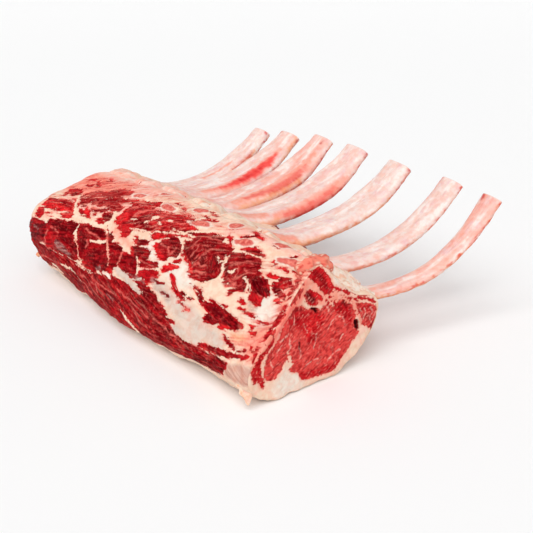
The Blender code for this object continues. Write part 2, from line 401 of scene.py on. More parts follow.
class Paint:
    """Lean and fat over a chart in millimetres, painted in order like strokes on a canvas.

    lean is the depth inside lean, in millimetres, and is below zero in fat.
    """

    def __init__(self, u, v, seed, ground="cream", angle=0.0, fibres=(), density=(), warp=1.0, comb=0.75):
        self.u, self.v, self.seed = u, v, seed
        way = 2 * math.radians(angle)
        self.turn = np.ones(u.shape + (2,)) * (math.cos(way), math.sin(way))
        for angle, *points in fibres:
            self.aim(angle, smooth(self.depth_at((u, v), points), -8, 3))
        self.angle = np.degrees(0.5 * np.arctan2(self.turn[..., 1], self.turn[..., 0]))
        self.cap = np.full(u.shape, 3.0)
        for cap, *points in density:
            self.cap += smooth(self.depth_at((u, v), points), -4, 4) * (cap - self.cap)
        pull = comb * fibre_noise(u, v, self.angle, 14.0, 2.6, seed + 30)
        along = np.radians(self.angle)
        du = warp * flat_noise(u, v, 7.0, seed, 3) + pull * np.cos(along)
        dv = warp * flat_noise(u, v, 7.0, seed + 50, 3) + pull * np.sin(along)
        self.warped = (u + du, v + dv)
        self.marbling = smooth(-self.cap, -4.2, -0.8)
        self.lean = np.full(u.shape, -8.0)
        self.lean_colour = np.tile(np.array(LEAN["red"]), u.shape + (1,))
        self.fat_colour = np.tile(np.array(FAT[ground]), u.shape + (1,))

    def depth_at(self, place, points):
        """Depth inside an outline of (u, v), or a stroke of (u, v, half width)."""
        if len(points[0]) == 2:
            return area_depth(*place, list(points))
        return stroke_depth(*place, list(points))

    def lay(self, kind, *points, grow=0.0):
        """One stroke or area of lean or fat."""
        depth = self.depth_at(self.warped, points) + grow + (0.6 if kind in LEAN else 0.5)
        if kind in LEAN:
            self.lean = np.maximum(self.lean, depth)
            self.tint("lean", LEAN[kind], smooth(depth, -1.2, 1.6))
        else:
            self.lean = np.minimum(self.lean, -depth)
            self.tint("fat", FAT[kind], smooth(depth, -3.0, 1.0))

    def wash(self, layer, kind, *points, strength=1.0, soft=6.0):
        """A soft tint over lean or fat, which leaves the border between them."""
        share = smooth(self.depth_at(self.warped, points), -soft, soft)
        self.tint(layer, colour_of(kind), strength * share)

    def tint(self, layer, colour, share):
        """Draws the colour of the lean or the fat towards another where share is high."""
        name = layer + "_colour"
        held = getattr(self, name)
        setattr(self, name, held + share[..., None] * (np.array(colour) - held))

    def aim(self, angle, share):
        """Turns the fibres towards an angle where share is high."""
        way = 2 * math.radians(angle)
        self.turn = self.turn + share[..., None] * (np.array([math.cos(way), math.sin(way)]) - self.turn)

    def fibres(self, along, across, seed):
        """Noise drawn out along this chart's own fibres."""
        return fibre_noise(self.u, self.v, self.angle, along, across, self.seed + seed)

    def seam(self, kind, *points):
        """A thin line of fat whose width wanders. Pink lies within the lean, and grey is a thin veil."""
        wander = 0.5 * flat_noise(self.u, self.v, 5.0, self.seed + 61, 2)
        depth = self.depth_at(self.warped, points) + wander
        if kind == "pink":
            self.tint("lean", THREAD, 0.7 * smooth(depth, -0.9, 0.7))
            return
        if kind == "grey":
            veil = smooth(depth, -1.6, 1.0) * (0.45 + 0.35 * self.fibres(10.0, 1.4, 63))
            for layer in ("lean", "fat"):
                self.tint(layer, FAT["grey"], np.clip(veil, 0, 0.8))
            return
        self.lean = np.minimum(self.lean, -depth - 0.1)
        self.tint("fat", FAT[kind], smooth(depth, -2.0, 1.0))

    def stain(self, kind, strength, *points):
        """Streaks of a lean colour through fat, and lean itself where they are strongest."""
        share = smooth(self.depth_at(self.warped, points), -9, 6)
        strand = self.fibres(24.0, 2.4, 33) + 0.5 * self.fibres(9.0, 1.5, 34)
        self.tint("fat", LEAN[kind], strength * share * smooth(strand, -0.5, 1.0))
        self.lean = np.maximum(self.lean, 2.0 * share * strength * strand - 1.3 - 7.0 * (1 - share))

    def streak(self, halo=0.62):
        """Streaks the lean along its fibres, darker in the low streaks partly as painted shade, stains the
        fat beside it, and gives the streaks back.
        """
        streak = self.fibres(26.0, 2.4, 5) + 0.6 * self.fibres(13.0, 1.4, 9)
        self.depth = self.lean
        self.lean = np.minimum(self.lean, self.cap) + 0.9 * np.clip(streak, -1.6, 1.6)
        blotch = flat_noise(self.u, self.v, 11.0, self.seed + 80, 3)
        patch = flat_noise(self.u, self.v, 6.5, self.seed + 85, 3) + 0.35 * streak
        self.tint("lean", LEAN["dark"], 0.5 * smooth(-patch, 0.0, 0.7))
        self.tint("lean", LEAN["bright"], 0.4 * smooth(patch, 0.15, 0.8))
        # darker where the streaks run low, between the fibre ridges of the relief: partly the lean's own dark
        # strands, partly painted shade in the grooves
        self.lean_colour = self.lean_colour * (1 - 0.38 * smooth(-streak, -0.2, 1.2))[..., None]
        other = self.fibres(22.0, 1.8, 19)
        self.tint("lean", LEAN_TONE["glow"], 0.34 * smooth(other, 0.1, 0.9))
        thread = self.fibres(30.0, 2.6, 14)
        line = smooth(-np.abs(thread), -0.12, -0.02) * smooth(blotch, -0.35, 0.25)
        self.tint("lean", THREAD, 0.75 * line * (0.3 + 0.7 * self.marbling))
        wide = self.fibres(36.0, 3.8, 51)
        self.tint("lean", LEAN["maroon"], 0.75 * self.marbling * smooth(-wide, 0.0, 0.6))
        self.tint("lean", LEAN_TONE["marbled"], 0.8 * self.marbling * smooth(wide, 0.45, 0.95))
        self.lean = self.lean - 3.0 * self.marbling * smooth(wide, 0.8, 1.3) * smooth(self.lean, -0.5, 1.0)
        wisp = self.fibres(20.0, 3.0, 53)
        self.lean = self.lean + 3.0 * smooth(-wisp, 0.85, 1.3) * smooth(self.lean, -4.5, -1.0)
        self.tint("fat", FAT["pink"], 0.15 * smooth(blotch, -0.1, 0.5))
        stain = smooth(self.lean, -2.4, 0.0) * smooth(streak + 1.5 * blotch, -0.7, 0.9)
        self.tint("fat", LEAN["rose"], halo * stain)
        vessel = self.fibres(18.0, 2.6, 24)
        trace = smooth(-np.abs(vessel), -0.16, -0.01) * smooth(self.depth, -7.0, -1.0)
        self.tint("fat", LEAN["red"], 0.28 * trace * smooth(blotch, -0.2, 0.3))
        return streak

    def grain(self):
        """Places along and across the fibres, for the shader's fine strands, in steps of direction."""
        index = np.round(self.angle / 180 * FIBRE_DIRECTIONS) % FIBRE_DIRECTIONS
        way = index * math.pi / FIBRE_DIRECTIONS
        u, v = self.warped
        along = u * np.cos(way) + v * np.sin(way)
        across = v * np.cos(way) - u * np.sin(way)
        return np.stack([along / 8, across, index * 9.7], -1)

    def layers(self, pick=slice(None), axis=1):
        """The vertex attributes that the shader reads, with columns or rows picked to close a tube."""
        take = (slice(None), pick) if axis == 1 else (pick,)
        return {
            "lean": np.clip(self.lean, -6, 6)[take],
            "marbling": self.marbling[take],
            "grain": self.grain()[take],
            "lean_colour": self.lean_colour[take],
            "fat_colour": self.fat_colour[take],
        }


# ---------------------------------------------------------------- meshes


def closed_tube(name, rings, layers):
    """A closed mesh through rings of points, each ring round the last, with a fan at both ends.

    layers are vertex attributes ring by ring: numbers, or three numbers for a linear colour or a place.
    """
    count, around = rings.shape[:2]
    points = np.concatenate([rings.reshape(-1, 3), rings[:1].mean(axis=1), rings[-1:].mean(axis=1)])
    column = np.arange(around)
    following = (column + 1) % around
    ring_start = np.arange(count - 1)[:, None] * around
    first, after = ring_start + column, ring_start + following
    quads = np.stack([first, after, after + around, first + around], -1).reshape(-1, 4)
    last = (count - 1) * around
    low_fan = np.stack([following, column, np.full(around, count * around)], -1)
    high_fan = np.stack([last + column, last + following, np.full(around, count * around + 1)], -1)
    triangles = np.concatenate([quads[:, :3], quads[:, [0, 2, 3]], low_fan, high_fan])
    corners = points[triangles]
    volume = (np.cross(corners[:, 0], corners[:, 1]) * corners[:, 2]).sum()
    faces = quads.tolist() + low_fan.tolist() + high_fan.tolist()
    if volume < 0:
        faces = [face[::-1] for face in faces]
    mesh = bpy.data.meshes.new(name)
    mesh.from_pydata(points.tolist(), [], faces)
    mesh.update()

    def spread(array):
        """The rings' values in one row, then the mean of each end ring for its middle point."""
        flat = array.reshape((count * around,) + array.shape[2:])
        return np.concatenate([flat, array[:1].mean(axis=1), array[-1:].mean(axis=1)]).astype(np.float32)

    for key, array in layers.items():
        kind, slot = ("FLOAT", "value") if array.ndim == 2 else ("FLOAT_VECTOR", "vector")
        layer = mesh.attributes.new(key, kind, "POINT")
        layer.data.foreach_set(slot, spread(array).ravel())
    mesh.shade_smooth()
    return linked(name, mesh)


def linked(name, data):
    """A new object in the scene."""
    thing = bpy.data.objects.new(name, data)
    bpy.context.scene.collection.objects.link(thing)
    return thing


def finish_piece(thing, material, slot, *nodes):
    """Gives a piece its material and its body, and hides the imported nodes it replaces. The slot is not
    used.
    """
    thing.data.materials.append(material)
    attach(thing, "root")
    if nodes:
        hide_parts(*nodes)


# ---------------------------------------------------------------- materials


class Nodes:
    """A short way to build a node tree."""

    def __init__(self, name):
        self.material = bpy.data.materials.new(name)
        self.material.use_nodes = True
        self.tree = self.material.node_tree
        self.shader = self.tree.nodes["Principled BSDF"]

    def add(self, kind, inputs=None, **settings):
        """A node with its settings, and its inputs fed."""
        node = self.tree.nodes.new(kind)
        for key, value in settings.items():
            setattr(node, key, value)
        for key, value in (inputs or {}).items():
            self.feed(node.inputs[key], value)
        return node

    def feed(self, socket, value):
        """Links an output to a socket, or sets the socket to a plain value."""
        if isinstance(value, bpy.types.NodeSocket):
            self.tree.links.new(value, socket)
        else:
            socket.default_value = value

    def attribute(self, name, output="Fac"):
        """A vertex attribute."""
        return self.add("ShaderNodeAttribute", attribute_name=name).outputs[output]

    def sum(self, a, b, operation="ADD"):
        """Two numbers added, or joined by another operation."""
        return self.add("ShaderNodeMath", {0: a, 1: b}, operation=operation).outputs[0]

    def ramp(self, value, low, high, to_low=0.0, to_high=1.0):
        """A smooth step from to_low to to_high as the value goes from low to high."""
        return self.add(
            "ShaderNodeMapRange",
            {"Value": value, "From Min": low, "From Max": high, "To Min": to_low, "To Max": to_high},
            interpolation_type="SMOOTHSTEP",
        ).outputs["Result"]

    def mix(self, share, a, b, blend="MIX"):
        """Colour a, with a share of colour b over it."""
        node = self.add("ShaderNodeMix", data_type="RGBA", blend_type=blend)
        self.feed(node.inputs["Factor"], share)
        self.feed(node.inputs[6], a)
        self.feed(node.inputs[7], b)
        return node.outputs[2]

    def noise(self, place, scale, detail=3.0, roughness=0.55):
        """Noise from 0 to 1, with about scale features a metre."""
        return self.add(
            "ShaderNodeTexNoise",
            {"Vector": place, "Scale": scale, "Detail": detail, "Roughness": roughness},
        ).outputs["Fac"]


# the shader's own values: a faint moist coat, and a little light let in under the surface
TISSUE_SURFACE = {
    "Specular IOR Level": 0.01,
    "Specular Tint": (1.0, 0.4, 0.35, 1),
    "Subsurface Weight": 0.10,
    "Subsurface Radius": (1.0, 0.35, 0.25),
    "Subsurface Scale": 0.002,
    "Coat Weight": 0.02,
    "Coat Roughness": 0.14,
}


def lean_shade(n, place, strand, hair):
    """Lean: darker between its strands, partly its own tone and partly painted shade in the bump's grooves,
    and paler where it is marbled.
    """
    colour = n.attribute("lean_colour", "Color")
    # painted shade: the lean darkened where strands and fine hairs run low, the grooves of the bump made from
    # the same noise
    deep = n.mix(1.0, colour, (0.54, 0.30, 0.34, 1), "MULTIPLY")
    pale = n.mix(0.55, colour, (*THREAD, 1))
    patch = n.noise(place, 300, 4, 0.6)
    shade = n.mix(n.ramp(n.sum(n.sum(strand, patch), 0.5, "MULTIPLY"), 0.40, 0.52), deep, colour)
    marbled = n.ramp(n.attribute("marbling"), 0.0, 1.0, 0.06, 0.85)
    shade = n.mix(n.sum(n.ramp(strand, 0.54, 0.66), marbled, "MULTIPLY"), shade, pale)
    shade = n.mix(n.ramp(hair, 0.58, 0.72, 0.0, 0.14), shade, pale)
    return n.mix(n.ramp(hair, 0.30, 0.46, 0.35, 0.0), shade, deep)


def fat_shade(n, blotch, hair):
    """Fat: rosy in patches, with fine darker lines along the grain."""
    colour = n.attribute("fat_colour", "Color")
    rosy = n.mix(1.0, colour, (0.98, 0.86, 0.82, 1), "MULTIPLY")
    shade = n.mix(n.ramp(blotch, 0.42, 0.62), colour, rosy)
    lined = n.mix(1.0, shade, (0.96, 0.80, 0.76, 1), "MULTIPLY")
    return n.mix(n.ramp(hair, 0.54, 0.72, 0.0, 0.35), shade, lined)


def tissue_material(name, lean_shine, fat_shine, strand_scale):
    """Lean and fat: frayed along the fibres at their border, streaked, mottled and moist."""
    n = Nodes(name)
    place = n.add("ShaderNodeTexCoord").outputs["Object"]
    grain = n.attribute("grain", "Vector")
    strand = n.noise(grain, strand_scale, 3, 0.6)
    hair = n.noise(grain, 3.1 * strand_scale, 2)
    fine = n.noise(place, 1300, 3)
    blotch = n.noise(place, 160, 3)
    ragged = n.sum(n.attribute("lean"), n.ramp(fine, 0.25, 0.75, -0.25, 0.25))
    ragged = n.sum(ragged, n.ramp(strand, 0.3, 0.7, -0.5, 0.5))
    ragged = n.sum(ragged, n.ramp(n.noise(place, 430, 2), 0.3, 0.7, -0.7, 0.7))
    mask = n.ramp(ragged, -0.4, 0.4)
    colour = n.mix(mask, fat_shade(n, blotch, hair), lean_shade(n, place, strand, hair))
    n.feed(n.shader.inputs["Base Color"], colour)
    fat_rough = n.ramp(blotch, 0.35, 0.65, *fat_shine)
    lean_rough = n.ramp(strand, 0.35, 0.65, *lean_shine)
    rough = n.add("ShaderNodeMix", {"Factor": mask, "A": fat_rough, "B": lean_rough}, data_type="FLOAT")
    n.feed(n.shader.inputs["Roughness"], rough.outputs[0])
    height = n.sum(strand, 0.9, "MULTIPLY")
    for part, share in ((hair, 0.5), (fine, 0.25), (mask, -0.5)):
        height = n.sum(height, n.sum(part, share, "MULTIPLY"))
    bump = n.add("ShaderNodeBump", {"Strength": 0.6, "Distance": 0.0007, "Height": height})
    n.feed(n.shader.inputs["Normal"], bump.outputs[0])
    for key, value in TISSUE_SURFACE.items():
        n.shader.inputs[key].default_value = value
    return n.material


# name, then the lowest and highest roughness of lean and of fat, and how fine the strands are
meat_material = tissue_material("raw_meat", (0.30, 0.50), (0.38, 0.56), 0.60)
face_material = tissue_material("cut_face", (0.34, 0.50), (0.42, 0.58), 0.75)
fat_material = tissue_material("fat_cap", (0.36, 0.52), (0.40, 0.60), 0.60)
bone_material = tissue_material("rib_bone", (0.35, 0.52), (0.38, 0.56), 0.50)

# ---------------------------------------------------------------- the sides' layout
# u is millimetres from the chuck end. v is millimetres up the spine side, over the ridge at about
# v = 155 and down the rib side. A stroke is a line of (u, v, half width), and an area is a closed
# outline of (u, v). Each is laid over the ones before it.

# which way the fibres run, in degrees
SIDE_FIBRES = [
    (32, (20, 140, 30), (60, 146, 30), (110, 150, 24), (140, 150, 14)),
    (45, (20, 175, 20), (120, 178, 20), (260, 176, 18), (400, 172, 18)),
    (-30, (-5, 40, 24), (30, 30, 24), (70, 24, 18)),
    (-22, (80, 36, 18), (120, 28, 22)),
    (-12, (150, 40, 16), (250, 34, 24)),
    (-7, (290, 26, 22), (350, 24, 20)),
    (6, (380, 26, 14), (405, 28, 14)),
    (14, (2, 62, 12), (40, 68, 10), (60, 62, 8)),
    (10, (70, 84, 8), (100, 80, 12), (140, 70, 14)),
    (23, (140, 126, 16), (190, 124, 18), (240, 128, 16)),
    (16, (200, 90, 12), (236, 108, 12)),
    (17, (262, 132, 7), (290, 130, 9), (330, 126, 8), (345, 124, 7)),
    (68, (266, 112, 6), (282, 110, 7)),
    (-58, (300, 112, 4), (306, 102, 6)),
    (14, (284, 94, 3), (306, 95, 3)),
    (40, (322, 106, 7), (344, 108, 8)),
    (-32, (364, 104, 8), (372, 98, 7)),
    (-14, (300, 76, 5), (340, 66, 8), (370, 63, 4)),
    (-34, (262, 84, 3), (276, 74, 3), (304, 77, 3)),
    (50, (392, 110, 8), (404, 80, 6), (402, 40, 6)),
]

# how solid the lean is: high where fat never streaks it
SIDE_DENSITY = [
    (3.0, (0, 20, 40), (120, 26, 32), (250, 26, 30), (380, 22, 16)),
    (4.0, (0, 60, 16), (60, 70, 16), (90, 80, 14), (140, 74, 20), (180, 72, 16), (230, 78, 14)),
    (1.2, (60, 138, 18), (100, 140, 26), (150, 142, 14), (200, 142, 12), (240, 144, 10)),
    (1.5, (28, 104, 12), (60, 104, 10)),
    (1.5, (30, 128, 12), (44, 130, 10)),
    (1.5, (170, 118, 12), (200, 128, 14), (230, 134, 14), (250, 136, 8)),
    (3.2, (200, 94, 10), (245, 110, 10)),
    (2.4, (262, 118, 20), (300, 112, 24), (340, 112, 20)),
    (4.0, (366, 102, 10), (374, 98, 8)),
    (3.8, (302, 108, 6), (306, 100, 6)),
    (1.0, (322, 96, 6), (336, 94, 6)),
    (4.0, (330, 68, 12), (360, 64, 8)),
    (1.0, (398, 120, 10), (402, 60, 10)),
]

# soft tints of the fat
SIDE_FAT = [
    ("pink", (20, 170, 34), (120, 172, 30), (170, 176, 16)),
    ("pink", (290, 150, 6), (340, 152, 8), (390, 148, 6)),
    ("salmon", (20, 150, 24), (60, 146, 24), (90, 158, 16)),
    ("salmon", (152, 100, 3), (176, 96, 4), (186, 92, 2)),
    ("orange", (372, 54, 3), (396, 56, 4)),
    ("salmon", (396, 50, 5), (399, 100, 4), (398, 140, 5)),
    ("pink", (60, 116, 10), (110, 122, 10), (160, 132, 10), (230, 132, 12)),
    ("pink", (150, 70, 8), (180, 78, 8), (230, 80, 6)),
    ("white", (207, 104, 9), (222, 98, 9), (240, 95, 5)),
    ("white", (262, 92, 12), (290, 84, 8)),
    ("cream", (300, 90, 8), (320, 88, 9), (345, 78, 6)),
    ("white", (382, 95, 8), (388, 84, 12), (378, 80, 6)),
    ("silver", (255, 72, 5), (285, 60, 8), (310, 55, 10), (330, 48, 8), (360, 44, 7)),
    ("silver", (300, 40, 7), (330, 38, 7)),
    ("cream", (355, 128, 9), (362, 112, 8)),
    ("salmon", (392, 58, 6), (402, 62, 6), (404, 46, 6)),
]

# muscles as outlines
SIDE_AREAS = [
    # the long fibrous band along the bottom
    (
        "maroon",
        (-8, 8), (-8, 60), (10, 62), (40, 52), (62, 54), (82, 54), (118, 51), (150, 50), (168, 54),
        (200, 56), (238, 54), (256, 56), (274, 50), (286, 42), (300, 33), (330, 31), (362, 31),
        (378, 29), (373, 18), (352, 10), (300, 8), (240, 6), (120, 4), (60, 6),
    ),
    (
        "maroon",
        (176, 57), (215, 59), (236, 57), (256, 60), (270, 55), (284, 46), (270, 46), (240, 49), (200, 50),
    ),
    ("dark", (222, 64), (236, 67), (252, 63), (266, 56), (252, 55), (238, 58)),
    # the chuck end's dark lobe
    (
        "maroon",
        (-6, 40), (-6, 74), (12, 76), (30, 79), (48, 79), (58, 77), (60, 72), (66, 69), (58, 64), (50, 57),
        (40, 53), (20, 46),
    ),
    # the dark block below the cream channel, first whole and then muscle by muscle
    (
        "maroon",
        (50, 56), (54, 84), (66, 87), (82, 91), (96, 94), (124, 93), (137, 96), (148, 92), (158, 86),
        (176, 86), (188, 83), (205, 83), (214, 74), (232, 72), (234, 62), (206, 66), (184, 65), (168, 56),
        (120, 54), (84, 54),
    ),
    (
        "maroon",
        (52, 87), (60, 85), (66, 89), (77, 90), (82, 93), (91, 93), (97, 87), (99, 80), (104, 74), (111, 69),
        (115, 63), (119, 58), (110, 54), (84, 54), (76, 66), (62, 71), (61, 77), (64, 80), (58, 82),
    ),
    ("red", (58, 60), (62, 70), (70, 72), (78, 69), (77, 60), (70, 55), (60, 55)),
    (
        "maroon",
        (92, 96), (100, 93), (110, 96), (124, 95), (137, 97), (144, 91), (136, 86), (127, 83), (125, 77),
        (129, 71), (130, 64), (127, 57), (121, 59), (116, 67), (109, 75), (102, 82), (97, 90),
    ),
    (
        "maroon",
        (128, 77), (140, 80), (150, 84), (157, 79), (162, 71), (157, 62), (150, 53), (138, 51), (125, 54),
        (131, 60), (127, 68),
    ),
    # between the two slanting fat lines
    (
        "maroon",
        (135, 104), (140, 99), (145, 94), (151, 97), (155, 93), (158, 88), (166, 89), (175, 88), (178, 85),
        (176, 79), (182, 71), (185, 66), (176, 64), (170, 69), (165, 76), (158, 82), (151, 87), (146, 91),
        (140, 98),
    ),
    (
        "maroon",
        (179, 84), (188, 84), (196, 86), (205, 84), (212, 79), (217, 72), (207, 67), (196, 67), (186, 68),
    ),
    ("dark", (188, 94), (193, 97), (206, 98), (217, 98), (220, 91), (216, 86), (205, 84), (195, 86)),
    ("maroon", (209, 81), (217, 88), (228, 90), (236, 91), (238, 87), (226, 82), (216, 79)),
    (
        "red",
        (217, 71), (219, 77), (228, 80), (240, 84), (247, 80), (244, 75), (247, 71), (238, 69), (225, 70),
    ),
    ("dark", (184, 105), (190, 103), (198, 105), (207, 106), (204, 101), (194, 98), (185, 98)),
    # the streaky muscle under the ridge
    (
        "red",
        (139, 111), (139, 128), (142, 137), (134, 140), (116, 132), (112, 134), (124, 142), (150, 147),
        (174, 151), (178, 147), (177, 139), (198, 142), (212, 145), (235, 150), (239, 146), (238, 140),
        (250, 138), (264, 137), (264, 131), (250, 126), (240, 124), (230, 119), (222, 116), (210, 109),
        (205, 111), (197, 118), (190, 112), (174, 111), (172, 100), (163, 98), (160, 104), (149, 108),
    ),
    (
        "maroon",
        (170, 124), (178, 130), (187, 132), (190, 122), (204, 122), (196, 116), (180, 112), (170, 114),
    ),
    ("bright", (140, 112), (140, 127), (146, 131), (152, 124), (158, 117), (150, 108)),
    (
        "maroon",
        (217, 107), (222, 113), (231, 114), (231, 121), (242, 122), (250, 117), (256, 109), (254, 103),
        (246, 101), (242, 95), (233, 98), (222, 101),
    ),
    # the first big dark muscle
    (
        "maroon",
        (251, 122), (260, 128), (262, 134), (276, 138), (291, 140), (293, 134), (310, 130), (311, 122),
        (306, 119), (312, 113), (314, 101), (308, 93), (299, 90), (284, 90), (277, 97), (268, 103),
        (259, 108),
    ),
    # the second
    (
        "maroon",
        (311, 125), (322, 128), (336, 128), (347, 129), (351, 124), (354, 117), (360, 113), (369, 112),
        (376, 107), (381, 101), (376, 96), (377, 88), (370, 88), (362, 90), (357, 97), (350, 94), (344, 94),
        (338, 87), (334, 92), (324, 97), (318, 103), (314, 112), (313, 119),
    ),
    ("maroon", (321, 132), (337, 138), (349, 132), (344, 130), (330, 130)),
    # the slanting island
    (
        "maroon",
        (290, 84), (300, 83), (308, 81), (316, 73), (332, 74), (345, 72), (354, 71), (363, 68), (376, 64),
        (371, 60), (362, 57), (350, 55), (345, 60), (342, 56), (331, 54), (327, 61), (333, 64), (324, 67),
        (315, 70), (309, 73), (302, 80),
    ),
    # the top of the chuck end
    (
        "brown",
        (55, 131), (60, 138), (70, 143), (82, 145), (85, 152), (95, 157), (118, 157), (120, 149), (110, 145),
        (118, 141), (112, 135), (122, 131), (134, 130), (134, 124), (125, 120), (110, 119), (98, 121),
        (88, 121), (80, 122), (78, 115), (70, 117), (66, 122), (58, 126),
    ),
    (
        "red",
        (26, 124), (27, 133), (35, 139), (43, 138), (51, 133), (50, 127), (45, 122), (39, 126), (37, 117),
        (32, 119),
    ),
    (
        "red",
        (22, 96), (22, 106), (32, 110), (45, 113), (55, 115), (63, 112), (69, 107), (77, 100), (79, 94),
        (73, 90), (66, 92), (60, 95), (50, 96), (40, 94), (30, 95),
    ),
    ("red", (22, 92), (34, 92), (38, 87), (34, 81), (24, 81)),
    ("dark", (118, 112), (124, 117), (130, 117), (133, 110), (129, 106), (122, 108)),
    ("red", (115, 104), (120, 108), (128, 106), (130, 103), (122, 101)),
]

